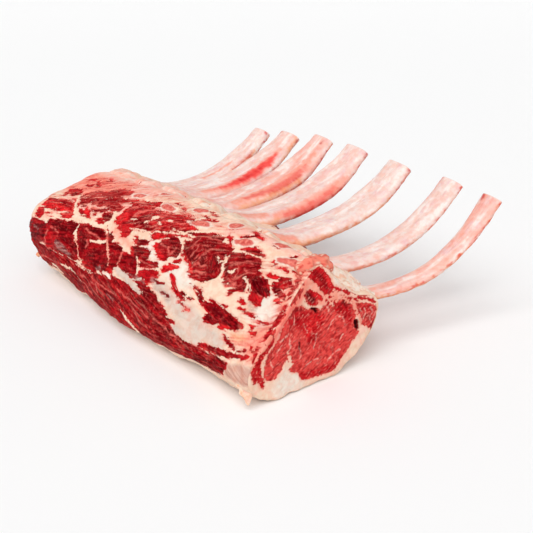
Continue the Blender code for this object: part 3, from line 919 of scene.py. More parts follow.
# smaller muscles and shades inside the large ones: (u, v, half width) along a line
SIDE_STROKES = [
    ("dark", (295, 25, 4), (330, 21, 4), (360, 20, 4), (372, 22, 2)),
    ("dark", (230, 50, 2), (262, 42, 3), (290, 30, 3)),
    ("dark", (88, 36, 3), (110, 33, 4), (130, 30, 3)),
    ("dark", (0, 56, 3), (30, 62, 5), (52, 68, 3)),
    ("dark", (30, 72, 2), (50, 74.6, 3), (58, 76, 1.6)),
    ("maroon", (336, 34, 1.4), (352, 34.5, 2.6), (366, 36, 2.8), (382, 38, 2), (396, 41, 0.8)),
    ("maroon", (282, 43, 2), (296, 44, 1.4)),
    ("dark", (66, 83, 4), (76, 83, 6), (88, 87, 6), (94, 83, 4)),
    ("dark", (84, 74, 4), (98, 71, 4), (110, 65, 3)),
    ("dark", (120, 92, 3), (132, 93, 4), (139, 91, 3)),
    ("dark", (106, 84, 3), (114, 78, 5), (122, 72, 5)),
    ("dark", (134, 68, 5), (146, 68, 6), (150, 60, 4)),
    ("red", (126, 55, 2), (140, 55, 3), (152, 53, 2)),
    ("red", (130, 77, 1.6), (142, 80, 1.6)),
    ("dark", (148, 95, 2.6), (152, 91, 3)),
    ("dark", (162, 86, 2.4), (170, 86, 3), (176, 86, 2)),
    ("dark", (152, 60, 2), (160, 61, 3.6), (168, 62, 4.4)),
    ("bright", (173, 60, 2), (180, 60, 2.6)),
    ("dark", (196, 82, 3), (202, 78, 3)),
    ("red", (188, 92, 1.4), (195, 87, 2)),
    ("bright", (218, 106, 2.6), (226, 101, 2.6), (238, 96.6, 2)),
    ("dark", (236, 118, 3), (244, 115, 4), (250, 111, 3.4), (252, 106, 2.4)),
    ("red", (185, 103, 2), (187, 99, 2)),
    ("bright", (27, 101, 4), (42, 101, 5), (58, 101, 5), (72, 97, 3)),
    ("maroon", (48, 109, 2), (58, 108, 3)),
    ("dark", (41, 129, 2), (46, 127, 3.4), (49, 129, 2)),
    ("bright", (30, 158, 1.8), (37, 160, 1.8)),
    ("red", (40, 148, 2), (46, 149, 3)),
    ("flesh", (47, 158, 1.8), (58, 150, 2.4)),
    ("rose", (50, 172, 1.4), (56, 168, 1.4)),
    ("maroon", (60, 127, 2.4), (70, 125, 3)),
    ("dark", (71, 119, 2.4), (77, 117, 3)),
    ("maroon", (80, 126, 3), (88, 124, 4), (98, 128, 3)),
    ("flesh", (93, 153, 2.4), (105, 154, 2.6), (114, 154, 2)),
    ("maroon", (98, 133, 2.6), (108, 134, 2.6), (118, 137, 1.6)),
    ("maroon", (116, 125, 2.4), (126, 127, 4), (132, 126, 1.8)),
    ("maroon", (80, 108.6, 1.8), (86, 106, 2)),
    ("bright", (84, 114, 1.4), (92, 109, 3.4), (100, 104, 2), (109, 101, 1)),
    ("maroon", (93, 116, 1.6), (104, 116, 2.8), (109, 117, 1.4)),
    ("maroon", (112, 117, 3), (118, 120, 2)),
    ("red", (67, 113, 2), (72, 112, 2)),
    ("red", (104, 110, 0.8), (108, 108.6, 1)),
    ("maroon", (157, 120, 1.4), (166, 122, 1.6)),
    ("maroon", (156, 114, 1.4), (168, 116.4, 1.2)),
    ("red", (151, 104.6, 0.8), (164, 106, 1)),
    ("dark", (172, 125, 2.6), (180, 128, 3), (187, 131, 1.6)),
    ("dark", (174, 119, 1.4), (188, 120, 1.6)),
    ("maroon", (182, 113, 1.2), (192, 116, 1.4)),
    ("maroon", (210, 140, 1), (224, 143, 1.2)),
    ("maroon", (212, 124, 1.4), (230, 130, 1.6), (250, 130.6, 1.6), (262, 134, 2), (290, 138, 1.6)),
    ("maroon", (216, 137, 1), (228, 139, 1.6)),
    ("bright", (238, 137, 2), (248, 136, 2.6), (243, 139, 1.6)),
    ("bright", (206, 113, 1.4), (214, 116, 1.8), (222, 118, 1.4)),
    ("bright", (247, 88, 3), (255, 92, 3.4), (261, 95, 1.6)),
    ("red", (256, 98, 1), (259, 103, 1)),
    # shades inside the big dark muscles
    ("dark", (258, 118, 4), (266, 112, 4), (276, 108, 4)),
    ("dark", (297, 117, 3), (302, 108, 5), (306, 98, 4)),
    ("dark", (262, 132, 1.4), (278, 136, 1.6), (290, 138, 1)),
    ("dark", (266, 127, 2.4), (282, 129, 3), (300, 127, 2)),
    ("dark", (282, 114, 2), (286, 108, 2.6)),
    ("dark", (293, 125, 2), (306, 123, 2)),
    ("bright", (262, 108, 1.4), (272, 102, 1.6), (280, 96, 1.6), (284, 92, 1)),
    ("bright", (320, 102, 1.6), (316, 108, 1.4), (319, 101, 1.6)),
    ("bright", (324, 134, 1.2), (335, 137, 1.6)),
    ("dark", (357, 108, 3), (366, 104, 5), (374, 101, 4), (366, 97, 3)),
    ("red", (362, 93, 3), (372, 93, 3), (373, 89, 2)),
    ("dark", (314, 125.6, 1.4), (325, 126.6, 1.6), (330, 125, 1)),
    ("dark", (330, 122, 1.6), (345, 125, 2.6), (350, 121, 2)),
    ("dark", (318, 109, 2.4), (322, 104, 2.4)),
    ("dark", (344, 106, 2), (350, 100, 2), (350, 97, 1.4)),
    ("rose", (324, 97, 1.2), (332, 95, 2.6), (338, 97, 1.6)),
    ("dark", (334, 69, 2.6), (346, 67, 3.6), (358, 65, 3)),
    ("dark", (330, 61, 2.2), (340, 61, 3.4), (352, 62, 4), (366, 63, 2)),
    ("dark", (332, 57, 1.8), (341, 58, 2.2)),
    ("bright", (350, 57, 1.6), (360, 58.6, 1.2)),
    # slits in the silver skin
    ("red", (260, 86, 1), (266, 81, 1.6), (272, 76, 1.6), (280, 72, 1.8), (290, 69, 1.2), (297, 67, 0.6)),
    ("dark", (287, 72, 1), (294, 71, 1.2)),
    ("dark", (298, 70.4, 0.8), (304, 70, 0.7)),
    ("maroon", (361, 50, 0.8), (366, 48, 1.4), (375, 45.5, 1.5), (381, 44, 0.8)),
    ("maroon", (384, 43, 0.7), (392, 46.6, 0.8)),
    ("rose", (290, 64, 0.8), (300, 61, 1), (306, 59.4, 0.8)),
    ("maroon", (322, 76, 0.7), (334, 75, 0.8), (344, 74.6, 0.8)),
    # small islands by the near cut
    ("bright", (368, 117, 2.4), (377, 118, 2)),
    ("red", (362, 129, 1.3), (366, 128.4, 1.1)),
    ("red", (377, 127, 0.9), (384, 126, 1)),
    ("red", (388, 129, 0.8), (391, 129, 0.8)),
    ("maroon", (383, 118, 2.6), (390, 119, 3), (394, 115, 2)),
    ("red", (379, 110, 2), (385, 113, 3), (392, 112, 2)),
    ("dark", (382, 108, 2), (388, 106.4, 3), (393, 105, 2), (397, 104, 1)),
    ("bright", (391, 98, 1.8), (396, 98, 1.6)),
    ("maroon", (374, 141, 1), (379, 144, 1.6)),
    ("dark", (393, 142, 0.8), (396, 140, 0.9)),
    ("red", (354, 86, 1.5), (359, 84, 1.6)),
    ("red", (358, 79, 0.9), (370, 78, 1.3), (380, 77, 1)),
    ("red", (386, 75, 0.8), (396, 77, 1.1)),
    ("bright", (382, 69, 1.2), (386, 67, 1.5)),
    ("bright", (388, 63, 1.4), (392, 64, 2.4)),
    ("brown", (396, 130, 2.4), (399, 118, 2.4), (401, 106, 2)),
    ("red", (403, 97, 1.6), (404, 86, 2), (404, 76, 1.6), (405, 64, 1)),
    ("red", (403, 54, 1.4), (406, 46, 1.8), (410, 38, 2)),
    ("red", (396, 52, 0.8), (404, 49, 1.2)),
    ("red", (388, 40, 0.8), (400, 43, 1.2)),
    # stains along the ridge
    ("rose", (240, 168, 1), (248, 165, 2), (256, 163, 1)),
    ("maroon", (244, 158, 0.8), (250, 155.6, 1)),
    ("red", (246, 151, 1.2), (256, 153, 1.4), (264, 155, 1.2)),
    ("red", (192, 158, 1), (200, 159, 1.2)),
    ("rose", (207, 156, 1), (213, 153, 1)),
    ("maroon", (199, 144, 0.9), (204, 144, 0.9)),
    ("red", (261, 155, 1.4)),
    ("bright", (312, 160, 2.4), (318, 154, 2), (326, 149, 1.6), (334, 147, 1)),
    ("maroon", (310, 144, 1.6), (318, 146, 2), (322, 149, 1.4)),
    ("red", (294, 142, 0.7), (302, 137, 1.2), (305, 133, 0.8)),
    ("red", (346, 148, 0.8), (354, 146.4, 1)),
    ("brown", (398, 146, 1.6), (402, 138, 2)),
]

# fat over the muscles: channels, seams and fine curling lines
SIDE_SEAMS = [
    ("cream", (52, 129, 1), (60, 121, 1), (68, 111, 1.6), (78, 104, 2.8), (86, 100, 3), (96, 98.4, 1.6)),
    ("flesh", (56, 121, 0.5), (64, 112, 0.7), (72, 104.6, 0.5)),
    ("cream", (56, 91, 1), (64, 89, 1), (78, 92, 1), (80, 97, 2)),
    (
        "cream",
        (95, 99.5, 2.2), (105, 100, 2.6), (115, 98.5, 2), (126, 99, 1.8), (133, 102, 2.4), (137, 109, 3),
    ),
    ("cream", (137, 108, 2.6), (134, 116, 3), (129, 121, 1.4)),
    ("cream", (92, 97, 0.8), (97, 88, 0.8), (99, 81, 2.2), (104, 75, 1.8)),
    ("salmon", (104, 75, 1.2), (109, 71, 0.6), (115, 65, 1.1), (121, 57, 1.0)),
    ("cream", (117, 54, 1.4), (124, 55, 2), (120, 51.6, 1.6)),
    ("cream", (127, 80.6, 0.8), (135, 82, 1.8), (141, 84, 2.2), (147, 88, 0.8)),
    ("pink", (134, 102, 1.2), (141, 95, 1.2), (148, 88, 1.2)),
    ("salmon", (148, 88, 0.4), (156, 82.6, 1.0), (162, 76, 1.2), (168, 69, 0.6), (173, 65, 1)),
    ("pink", (179, 85, 1.2), (181, 79, 1.2), (185, 72, 1.2)),
    ("salmon", (184, 73, 0.4), (187, 67, 1.2)),
    ("cream", (176, 88.6, 0.8), (184, 87.8, 1.8), (190, 86, 0.6)),
    ("white", (169, 56.6, 1.4), (176, 56, 1.6), (183, 54.6, 0.8)),
    (
        "silver",
        (184, 66, 1.6), (192, 64, 3), (204, 63.4, 3.2), (214, 60.6, 2.6), (226, 58.5, 2.6), (237, 57, 1.6),
    ),
    ("silver", (214, 64, 1), (228, 68.6, 1.2)),
    ("cream", (205, 85.6, 0.8), (211, 81, 1), (215, 76, 1.2), (218, 71.6, 1.4)),
    ("pink", (208, 83.6, 0.7), (220, 85, 0.5), (232, 85.6, 0.5)),
    ("pink", (111, 91, 0.6), (120, 88, 1), (128, 88, 0.8), (138, 86, 0.8)),
    ("pink", (122, 79, 0.8), (126, 76, 1.2), (124, 71, 0.8)),
    ("pink", (63, 77.6, 0.6), (70, 77, 0.7), (78, 75, 0.6)),
    ("pink", (60, 72, 0.8), (57, 66, 0.8), (60, 60, 0.6)),
    ("pink", (42, 54, 0.9), (50, 56, 1.3), (57, 58, 1)),
    ("pink", (61, 53, 0.8), (69, 54, 1)),
    ("grey", (80, 65, 2), (87, 62, 4), (94, 59, 3), (101, 57, 1.4)),
    ("grey", (28, 70, 0.8), (40, 70, 0.8)),
    ("grey", (152, 57, 1.4), (158, 59, 1.6)),
    ("grey", (205, 67, 0.8), (222, 68.6, 1), (236, 67, 0.8)),
    ("grey", (243, 74, 2.4), (252, 69, 2.8), (262, 67, 2.4), (276, 62, 3)),
    ("dark", (246, 74.4, 0.8), (252, 72.6, 0.9), (258, 75, 0.6)),
    ("dark", (262, 66, 0.7), (274, 65, 0.8)),
    ("pink", (160, 126, 2), (164, 131, 2.2), (172, 136, 1.8), (180, 139, 1.6)),
    ("pink", (150, 139, 0.8), (160, 141, 0.8), (168, 140, 1)),
    ("pink", (145, 133, 1), (152, 135, 1.2)),
    ("cream", (183, 122, 1.8), (187, 123.6, 1.4)),
    ("cream", (189, 130, 1.2), (195, 133, 1.6), (190, 127, 1)),
    ("cream", (202.6, 127.6, 1.6), (206, 127, 1.4)),
    ("cream", (210, 133, 1), (217, 134.6, 1)),
    ("cream", (160, 119, 0.9), (167, 119.6, 1)),
    ("cream", (188, 109, 1.4), (197, 109, 2.6), (204, 107.4, 1.8)),
    ("cream", (170, 109, 0.7), (180, 112.2, 0.8), (192, 113.6, 0.8)),
    ("pink", (186, 137, 0.7), (200, 138.6, 0.8), (216, 140.6, 0.7)),
    ("cream", (196, 112.6, 0.7), (206, 117, 0.7), (222, 122, 0.8), (238, 126, 0.7), (252, 129, 0.6)),
    ("pink", (204, 132, 0.6), (220, 134, 0.8), (234, 137, 0.7)),
    ("cream", (226, 127.4, 0.5), (240, 128.2, 0.7), (256, 129.4, 1.2)),
    ("cream", (242, 123.4, 1.4), (247, 120, 1)),
    ("cream", (246, 131.2, 0.6), (256, 135.6, 1), (266, 138.6, 1)),
    ("pink", (222, 110.4, 0.7), (230, 107.6, 0.6), (238, 109.6, 0.6), (242, 104, 0.9)),
    ("pink", (247, 112, 0.6), (246.6, 106, 0.8), (243, 101, 0.9)),
    ("cream", (308, 121, 1), (311, 113, 1), (314.6, 107, 1.2), (317.6, 99, 2)),
    ("pink", (262, 119, 0.6), (266, 124, 0.9), (268, 129, 0.6)),
    ("pink", (270, 111, 0.5), (272, 118, 0.6), (271, 124, 0.5)),
    ("pink", (278, 106, 0.5), (281, 113, 0.7), (283, 119, 0.6), (287, 124, 0.5)),
    ("pink", (277, 99.6, 0.6), (281, 105, 0.7), (287, 104, 0.7), (292, 107, 0.5)),
    ("pink", (285, 98.6, 0.6), (291, 96.6, 0.9), (299, 97.6, 0.7)),
    ("pink", (288, 94, 0.6), (296, 92.6, 0.8)),
    ("cream", (301, 117, 0.9), (305, 113.6, 0.8), (309, 116, 0.7)),
    ("pink", (262, 131, 0.5), (276, 133.4, 0.6), (290, 134.4, 0.5)),
    ("cream", (323, 107.4, 1), (328, 107, 1), (331, 111, 0.7)),
    ("pink", (333, 101, 0.5), (334, 108, 0.7), (332, 114, 0.5)),
    ("pink", (325, 101, 0.7), (331, 98.6, 0.9), (337, 99.6, 0.7)),
    ("cream", (345, 106.6, 0.8), (350, 104.6, 1), (354, 101, 1.2), (353, 96, 0.8)),
    ("pink", (320, 115.6, 0.6), (330, 117.4, 0.6), (336, 121, 0.7), (344, 122, 0.5)),
    ("pink", (338, 114, 0.5), (345, 111.6, 0.5), (352, 113.4, 0.5)),
    ("cream", (326, 129.4, 0.8), (338, 129.4, 0.7), (350, 130.6, 0.9)),
    ("grey", (366, 86, 1.4), (371, 82.6, 2.2), (375, 84, 1.8)),
    ("pink", (368, 97.4, 0.4), (376, 95.6, 0.5)),
    ("cream", (356, 103, 0.7), (359, 98, 0.9), (358, 92, 1)),
    # seams in the lower band
    ("cream", (88, 43, 0.5), (98, 41, 1.6), (106, 42, 1.0), (116, 38.6, 0.5), (128, 35, 0.4)),
    ("pink", (128, 35, 0.8), (142, 32, 0.7), (154, 29, 0.5)),
    ("pink", (10, 23, 0.8), (30, 30, 1.2), (48, 34, 1.6), (62, 39, 1.4), (72, 36, 1)),
    ("cream", (50, 27, 2), (62, 28, 3.4), (76, 25, 2.4)),
    ("cream", (6, 8, 4), (40, 10, 6), (80, 10, 5)),
    ("pink", (128, 41, 0.9), (134, 41.8, 1.2), (139, 41, 0.8)),
    ("pink", (151, 40.6, 0.9), (156, 40.6, 0.9)),
    ("pink", (162, 43, 0.7), (165, 38.6, 1.3), (168, 35, 0.8)),
    ("grey", (184, 37.6, 0.4), (191, 36.8, 0.8), (198, 35.6, 0.4)),
    ("cream", (211, 30.4, 0.3), (220, 28, 0.8), (231, 23, 1.4), (242, 17, 2)),
    ("pink", (236, 36, 0.6), (246, 31, 0.6), (260, 29, 0.5)),
    ("cream", (115, 50, 0.6), (128, 49.8, 0.6), (146, 48.6, 0.3)),
    ("pink", (200, 48, 0.5), (230, 44, 0.6), (262, 38, 0.5)),
    ("pink", (150, 46, 0.5), (176, 43, 0.6), (200, 42, 0.5)),
    ("pink", (268, 40, 0.5), (290, 33, 0.6), (312, 29.6, 0.6)),
    ("cream", (366, 12, 2), (385, 10, 4), (404, 9, 6)),
    ("cream", (246, 7, 4), (300, 7, 3), (360, 7, 4)),
]

# fat streaked with lean: (u, v, half width) along a line
SIDE_STAINS = [
    ("flesh", 0.7, (30, 150, 18), (60, 156, 22), (100, 164, 18), (130, 160, 10)),
    ("flesh", 0.7, (10, 104, 10), (40, 118, 10), (60, 120, 8)),
    ("red", 0.8, (100, 130, 8), (140, 140, 8), (200, 146, 8), (236, 148, 8)),
    ("flesh", 0.35, (150, 158, 8), (210, 158, 10), (262, 150, 8), (300, 152, 8)),
    ("red", 0.5, (352, 122, 6), (380, 130, 8)),
    ("red", 0.4, (375, 70, 6), (400, 80, 6)),
    ("red", 0.9, (402, 44, 3), (403, 90, 4), (401, 138, 5)),
    ("flesh", 0.5, (372, 50, 5), (396, 54, 6)),
    ("flesh", 0.35, (30, 88, 6), (56, 90, 6)),
]

# the sawn bones that show along the ridge: place, half length, half height
SIDE_BONES = [
    (136, 152, 8, 3.4), (191, 148, 9, 3.8), (250, 144.6, 12, 3.8), (318, 138.6, 10, 3),
    (379, 135.6, 12, 3.4), (163, 165, 6, 3), (229, 163, 8, 5), (289, 156, 7, 4.4), (354, 153, 9, 5.4),
]

# the long muscle along the bottom, whose strands differ most in tone, and the skin at its near end
BAND_LINE = [(0, 40, 22), (120, 30, 24), (250, 30, 24), (370, 22, 10)]
MEMBRANE_CORNER = [(374, 31, 1), (382, 24, 6), (392, 26, 8), (404, 28, 9)]


def side_height(u):
    """v at the level of the axis, at each place along the spine side."""
    return 52.4 - 7.4 * smooth(u, 225, 400)


def paint_bones(paint, bones):
    """Cut ends of bone set in fat: a spongy red middle and an uneven pale rim."""
    wu, wv = paint.warped
    uneven = flat_noise(wu, wv, 9.0, 36, 2)
    spongy = flat_noise(wu, wv, 2.4, 37, 2)
    for cu, cv, half_u, half_v in bones:
        round_off = 1 - np.hypot((wu - cu) / half_u, (wv - cv - 0.10 * (wu - cu)) / half_v)
        depth = round_off * half_v + 0.9 * uneven
        paint.lean = np.minimum(paint.lean, -depth - 1.4)
        paint.tint("fat", FAT["white"], 0.7 * smooth(depth, -2.4, -1.0))
        paint.tint("fat", FAT_TONE["bone_rim"], 0.9 * smooth(depth, -0.9, 0.1))
        paint.tint("fat", FAT["marrow"], 0.9 * smooth(depth, 0.2, 1.2))
        inner = smooth(depth, 0.4, 1.2)
        paint.tint("fat", FAT_TONE["dark_marrow"], 0.7 * inner * smooth(spongy, 0.05, 0.5))
        paint.tint("fat", FAT["salmon"], 0.6 * inner * smooth(-spongy, 0.1, 0.5))


def paint_band(paint):
    """Strands from dark to pale in the long muscle along the bottom."""
    band = smooth(paint.depth_at((paint.u, paint.v), BAND_LINE), -6, 4)
    strand = paint.fibres(40.0, 2.8, 41)
    paint.tint("lean", LEAN["dark"], 0.9 * band * smooth(-strand, -0.15, 0.45))
    paint.tint("lean", LEAN["red"], 0.6 * band * smooth(strand, 0.15, 0.6))
    paint.tint("lean", LEAN["flesh"], 0.18 * band * smooth(strand, 0.45, 0.9))
    pale = paint.fibres(90.0, 4.0, 43)
    paint.tint("lean", LEAN_TONE["pale_strand"], 0.42 * band * smooth(-np.abs(pale), -0.09, -0.02))


def paint_membrane(paint):
    """Thin drawn skin in the corner between the long muscle and the near cut."""
    skin_lines = fibre_noise(paint.u, paint.v, np.full(paint.u.shape, -28.0), 24.0, 1.5, 45)
    corner = smooth(paint.depth_at((paint.u, paint.v), MEMBRANE_CORNER), -2, 2)
    paint.tint("fat", FAT["membrane"], corner)
    paint.tint("fat", FAT_TONE["skin_line"], 0.5 * corner * smooth(skin_lines, 0.1, 0.8))
    paint.tint("fat", FAT["cream"], 0.4 * corner * smooth(-skin_lines, 0.3, 0.9))


def paint_side(u, v):
    """The spine side, the ridge and the rib side, which share one chart."""
    paint = Paint(u, v, 3, "cream", 12, SIDE_FIBRES, SIDE_DENSITY)
    for kind, *points in SIDE_FAT:
        paint.wash("fat", kind, *points)
    for kind, *points in SIDE_AREAS + SIDE_STROKES:
        paint.lay(kind, *points)
    for kind, strength, *points in SIDE_STAINS:
        paint.stain(kind, strength, *points)
    paint_membrane(paint)
    paint_band(paint)
    streak = paint.streak()
    for kind, *points in SIDE_SEAMS:
        if kind in LEAN:
            paint.lay(kind, *points)
        else:
            paint.seam(kind, *points)
    paint_bones(paint, SIDE_BONES)
    return paint, streak


# ---------------------------------------------------------------- plates on the skin


def meridian(start_turn, end_turn, near_step, far_step):
    """Rows from the rounded chuck edge to the near cut's edge: x and inset of each."""
    arc = CHUCK_ROUND * math.radians(start_turn)
    turns = np.linspace(math.radians(start_turn), 0, max(3, round(arc / far_step)), endpoint=False)
    x = list(CHUCK_X + CHUCK_ROUND * (1 - np.sin(turns)))
    inset = list(CHUCK_ROUND * (1 - np.cos(turns)))
    place = CHUCK_X + CHUCK_ROUND
    end = LOIN_X - LOIN_ROUND
    while place < end:
        x.append(place)
        inset.append(0.0)
        place += far_step + (near_step - far_step) * (place - CHUCK_X) / LENGTH
    turns = np.linspace(0, math.radians(end_turn), 10)
    x += list(end + LOIN_ROUND * np.sin(turns))
    inset += list(LOIN_ROUND * (1 - np.cos(turns)))
    return np.array(x), np.array(inset)


def lumps(points):
    """Broad, uneven swellings shared by all the skin, in metres."""
    return (2.6 * layered(points, 0.050, 11, 2) + 1.3 * layered(points, 0.017, 12, 2)) * MM


def row_run(x, inset):
    """Distance along the skin from the chuck end's edge, in millimetres, as the chart's u."""
    steps = np.hypot(np.diff(x), np.diff(inset))
    run = np.concatenate([[0], np.cumsum(steps)]) / MM
    first_flat = np.argmin(np.abs(x - CHUCK_X - CHUCK_ROUND))
    return run - run[first_flat] + CHUCK_ROUND / MM


def tissue_relief(paint, streak):
    """Height over the skin: fat rolls over the edges of lean, fibres stand in ridges."""
    lean, depth = paint.lean, paint.depth
    height = 1.0 * smooth(-lean, -0.2, 2.4) - 0.6 * smooth(lean, 0.0, 2.5)
    height += 1.2 * smooth(depth, 1.5, 7.0)
    height += streak * (0.34 * smooth(lean, -0.5, 1.0) + 0.12)
    return height * MM


def above_floor(points):
    """The points, raised to the floor where they lie below it."""
    points[..., 2] = np.maximum(points[..., 2], FLOOR_GAP)
    return points


def plate(name, low, high, columns, rows, painter):
    """A closed plate on the skin between two angles. The painter gives its paint and relief."""
    x, inset = rows
    angle = even_angles(x, low, high, columns)
    base = skin.points(columns_of(x, columns), angle, inset[:, None])
    normal = normals_of(base)
    paint, relief = painter(columns_of(row_run(x, inset), columns), x, angle, base)
    column, row = np.arange(columns)[None, :], np.arange(len(x))[:, None]
    edge_column = np.minimum(column, column[:, ::-1])
    edge_row = np.minimum(row, row[::-1])
    tuck = -3.5 * MM * (smooth(-edge_column, -3.2, 0.2) + smooth(-edge_row, -2.4, 0.2))
    outer = above_floor(base + normal * (lumps(base) + relief + tuck)[..., None])
    axis = np.stack([x, np.full(len(x), AXIS_Y), np.full(len(x), AXIS_Z)], -1)[:, None]
    hidden = []  # the inner side, which closes the plate inside the roast
    for share in (0.0, 0.25, 0.5, 0.75, 1.0):
        chord = outer[:, -1:] * (1 - share) + outer[:, :1] * share
        hidden.append(chord + (axis - chord) * (0.10 + 0.25 * math.sin(share * math.pi)))
    rings = np.concatenate([outer] + hidden, axis=1)
    pick = list(range(columns)) + [columns - 1] * 3 + [0] * 2
    return closed_tube(name, rings, paint.layers(pick))


def side_painter(u, x, angle, base):
    """The spine side's paint and relief."""
    v = side_height(u) + arc_from(x, angle, 0.0) / MM
    paint, streak = paint_side(u, v)
    return paint, tissue_relief(paint, streak)


# ---------------------------------------------------------------- ribs


class RibLine:
    """One packed rib's centre line and its section at every place along it."""

    STATIONS, SIDES = 190, 60

    def __init__(self, node):
        low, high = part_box(node)
        self.tree = solid_tree(node)
        coarse = self.middle_points(node, low.y, high.y)
        line = blurred(spread_evenly(coarse, 80)[0], 1.5, 0, False)
        self.line = spread_evenly(self.reach_ends(line), self.STATIONS)[0]
        self.run = run_along(self.line)
        self.way = unit(np.gradient(self.line, axis=0))
        self.side = unit(np.cross(self.way, [0, 0, 1]))
        self.up = np.cross(self.side, self.way)
        self.radii = self.sections()

    def middle_points(self, node, low, high):
        """The middle of the solid's outline at steps in y, clear of its two ends."""
        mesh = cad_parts[node].data
        points = np.array([vertex.co[:] for vertex in mesh.vertices])
        ends = np.array([edge.vertices[:] for edge in mesh.edges])
        first, second = points[ends[:, 0]], points[ends[:, 1]]
        middles = []
        for y in np.linspace(low + 0.008, high - 0.012, 40):
            crossing = (first[:, 1] - y) * (second[:, 1] - y) < 0
            a, b = first[crossing], second[crossing]
            share = (y - a[:, 1]) / (b[:, 1] - a[:, 1])
            cut = a + (b - a) * share[:, None]
            middles.append((cut.min(axis=0) + cut.max(axis=0)) / 2)
        return np.array(middles)

    def reach_ends(self, line):
        """The line carried on to the solid's two end faces."""
        ends = []
        for end, before in ((line[0], line[3]), (line[-1], line[-4])):
            way = unit(end - before)
            gap = self.tree.ray_cast(Vector(end), Vector(way))[3] or 0.0
            ends.append(end + way * (gap - 0.2 * MM))
        return np.concatenate([ends[:1], line, ends[1:]])

    def sections(self):
        """The distance from the centre line to the solid's surface, all round at each place."""
        turn = turns_round(self.SIDES)
        radii = np.zeros((self.STATIONS, self.SIDES))
        for row in range(self.STATIONS):
            at = min(max(row, 3), self.STATIONS - 4)
            for column, angle in enumerate(turn):
                way = Vector(self.up[at] * math.cos(angle) + self.side[at] * math.sin(angle))
                radii[row, column] = self.tree.ray_cast(Vector(self.line[at]), way)[3] or 0.005
        return blurred(blurred(radii, 3.0, 0, False), 1.2, 1, True)

    def ring(self, row, radii):
        """Points round the centre line at one place."""
        turn = turns_round(self.SIDES)
        across = self.up[row][None] * np.cos(turn)[:, None] + self.side[row][None] * np.sin(turn)[:, None]
        return self.line[row][None] + across * radii[:, None]


rib_lines = [RibLine(node) for node in RIB_NODES]

# strokes on each rib: kind, then (from the sawn tip in millimetres, round the rib in millimetres from
# the middle of its top towards the near cut, half width). The photograph sees a rib from about -14 to
# 29, and the narrower first one from -9 to 19.
RIB_STROKES = [
    [
        ("red", (0, -7, 1.6), (7, -8, 1.2)),
        ("orange", (60, 17, 1.2), (140, 17, 2), (205, 14, 4)),
        ("brown", (120, 18.5, 0.7), (190, 18, 1.2), (212, 16, 1.4)),
        ("salmon", (170, 4, 2), (200, 6, 3)),
    ],
    [
        ("red", (0, -12, 1.4), (6, -13, 1)),
        ("orange", (40, 21.5, 1.4), (120, 21.5, 2.4), (175, 19.5, 4), (205, 20, 6)),
        ("salmon", (100, 20, 1.4), (170, 18, 3)),
        ("brown", (140, 23.5, 1), (200, 21.5, 1.6)),
    ],
    [
        ("red", (0, 19.5, 2), (8, 22.5, 1.6)),
        ("red", (20, 23.5, 1.4), (44, 24.5, 1.2)),
        ("orange", (40, 21.5, 2), (90, 22.5, 1.6), (150, 20.5, 3), (195, 20, 8)),
        ("salmon", (165, 12, 4), (195, 12, 7)),
        ("red", (168, 19.5, 1.6), (192, 20, 3)),
    ],
    [
        ("red", (0, 20, 1.6), (5, 21.5, 1.6)),
        ("salmon", (40, 18, 4), (84, 18, 8), (112, 18, 7), (140, 16, 4)),
        ("rose", (56, 18, 2), (84, 20, 4), (112, 20, 4), (130, 18, 2)),
        ("red", (40, 23.5, 1.4), (80, 24.5, 1.8), (120, 24.5, 1.6)),
        ("salmon", (150, 10, 5), (185, 8, 6)),
        ("orange", (140, 21.5, 2.6), (195, 22, 5)),
    ],
    [
        ("brown", (4, 8, 1), (7, 8, 1)),
        ("red", (12, 22.5, 1.6), (40, 23.5, 1.6)),
        ("salmon", (26, 10, 4), (90, 12, 8), (150, 10, 5)),
        ("rose", (44, 12, 2), (70, 14, 4), (104, 13, 4), (134, 10, 2)),
        ("red", (60, 17, 0.8), (110, 17, 1)),
        ("red", (50, 24.5, 1.4), (150, 23.5, 1.6)),
        ("orange", (60, 20.5, 1.8), (150, 19.5, 2.4)),
    ],
    [
        ("salmon", (26, 10, 3), (60, 12, 7), (110, 12, 7), (150, 10, 4)),
        ("bright", (34, 11, 1.4), (52, 12, 5), (78, 12, 6), (104, 12, 4.4), (132, 11, 1.4)),
        ("red", (60, 13, 1), (96, 13, 1.4)),
        ("red", (0, -12, 1.8), (6, -13, 1.4)),
        ("orange", (0, 16, 2.4), (12, 19.5, 2), (36, 22.5, 1.6)),
        ("brown", (2, 20.5, 1.2), (18, 23.5, 1)),
    ],
    [
        ("red", (0, 12, 1.2), (8, 19.5, 1.2)),
        ("orange", (30, 16, 2), (76, 16, 2.4)),
        ("brown", (34, 15, 1.2), (70, 15, 1.6)),
        ("orange", (30, 21.5, 1.8), (120, 21.5, 2)),
        ("salmon", (60, 4, 2), (110, 3, 3)),
    ],
]

# how far each rib's bone is stained by flesh
RIB_BLUSH = [0.50, 0.08, 0.02, 0.15, 0.45, 0.18, 0.04]
# how much wider each rib is along its middle than at its sawn tip
RIB_BREADTH = [0.02, 0.15, 0.20, 0.26, 0.30, 0.30, 0.26]


TIP_SHARES = np.array([0.985, 0.95, 0.88, 0.78, 0.66, 0.52, 0.38, 0.22, 0.10])  # from the rim inwards
TIP_RISE = np.array([0.5, 0.9, 0.9, 0.75, 0.6, 0.55, 0.5, 0.5, 0.5]) * MM


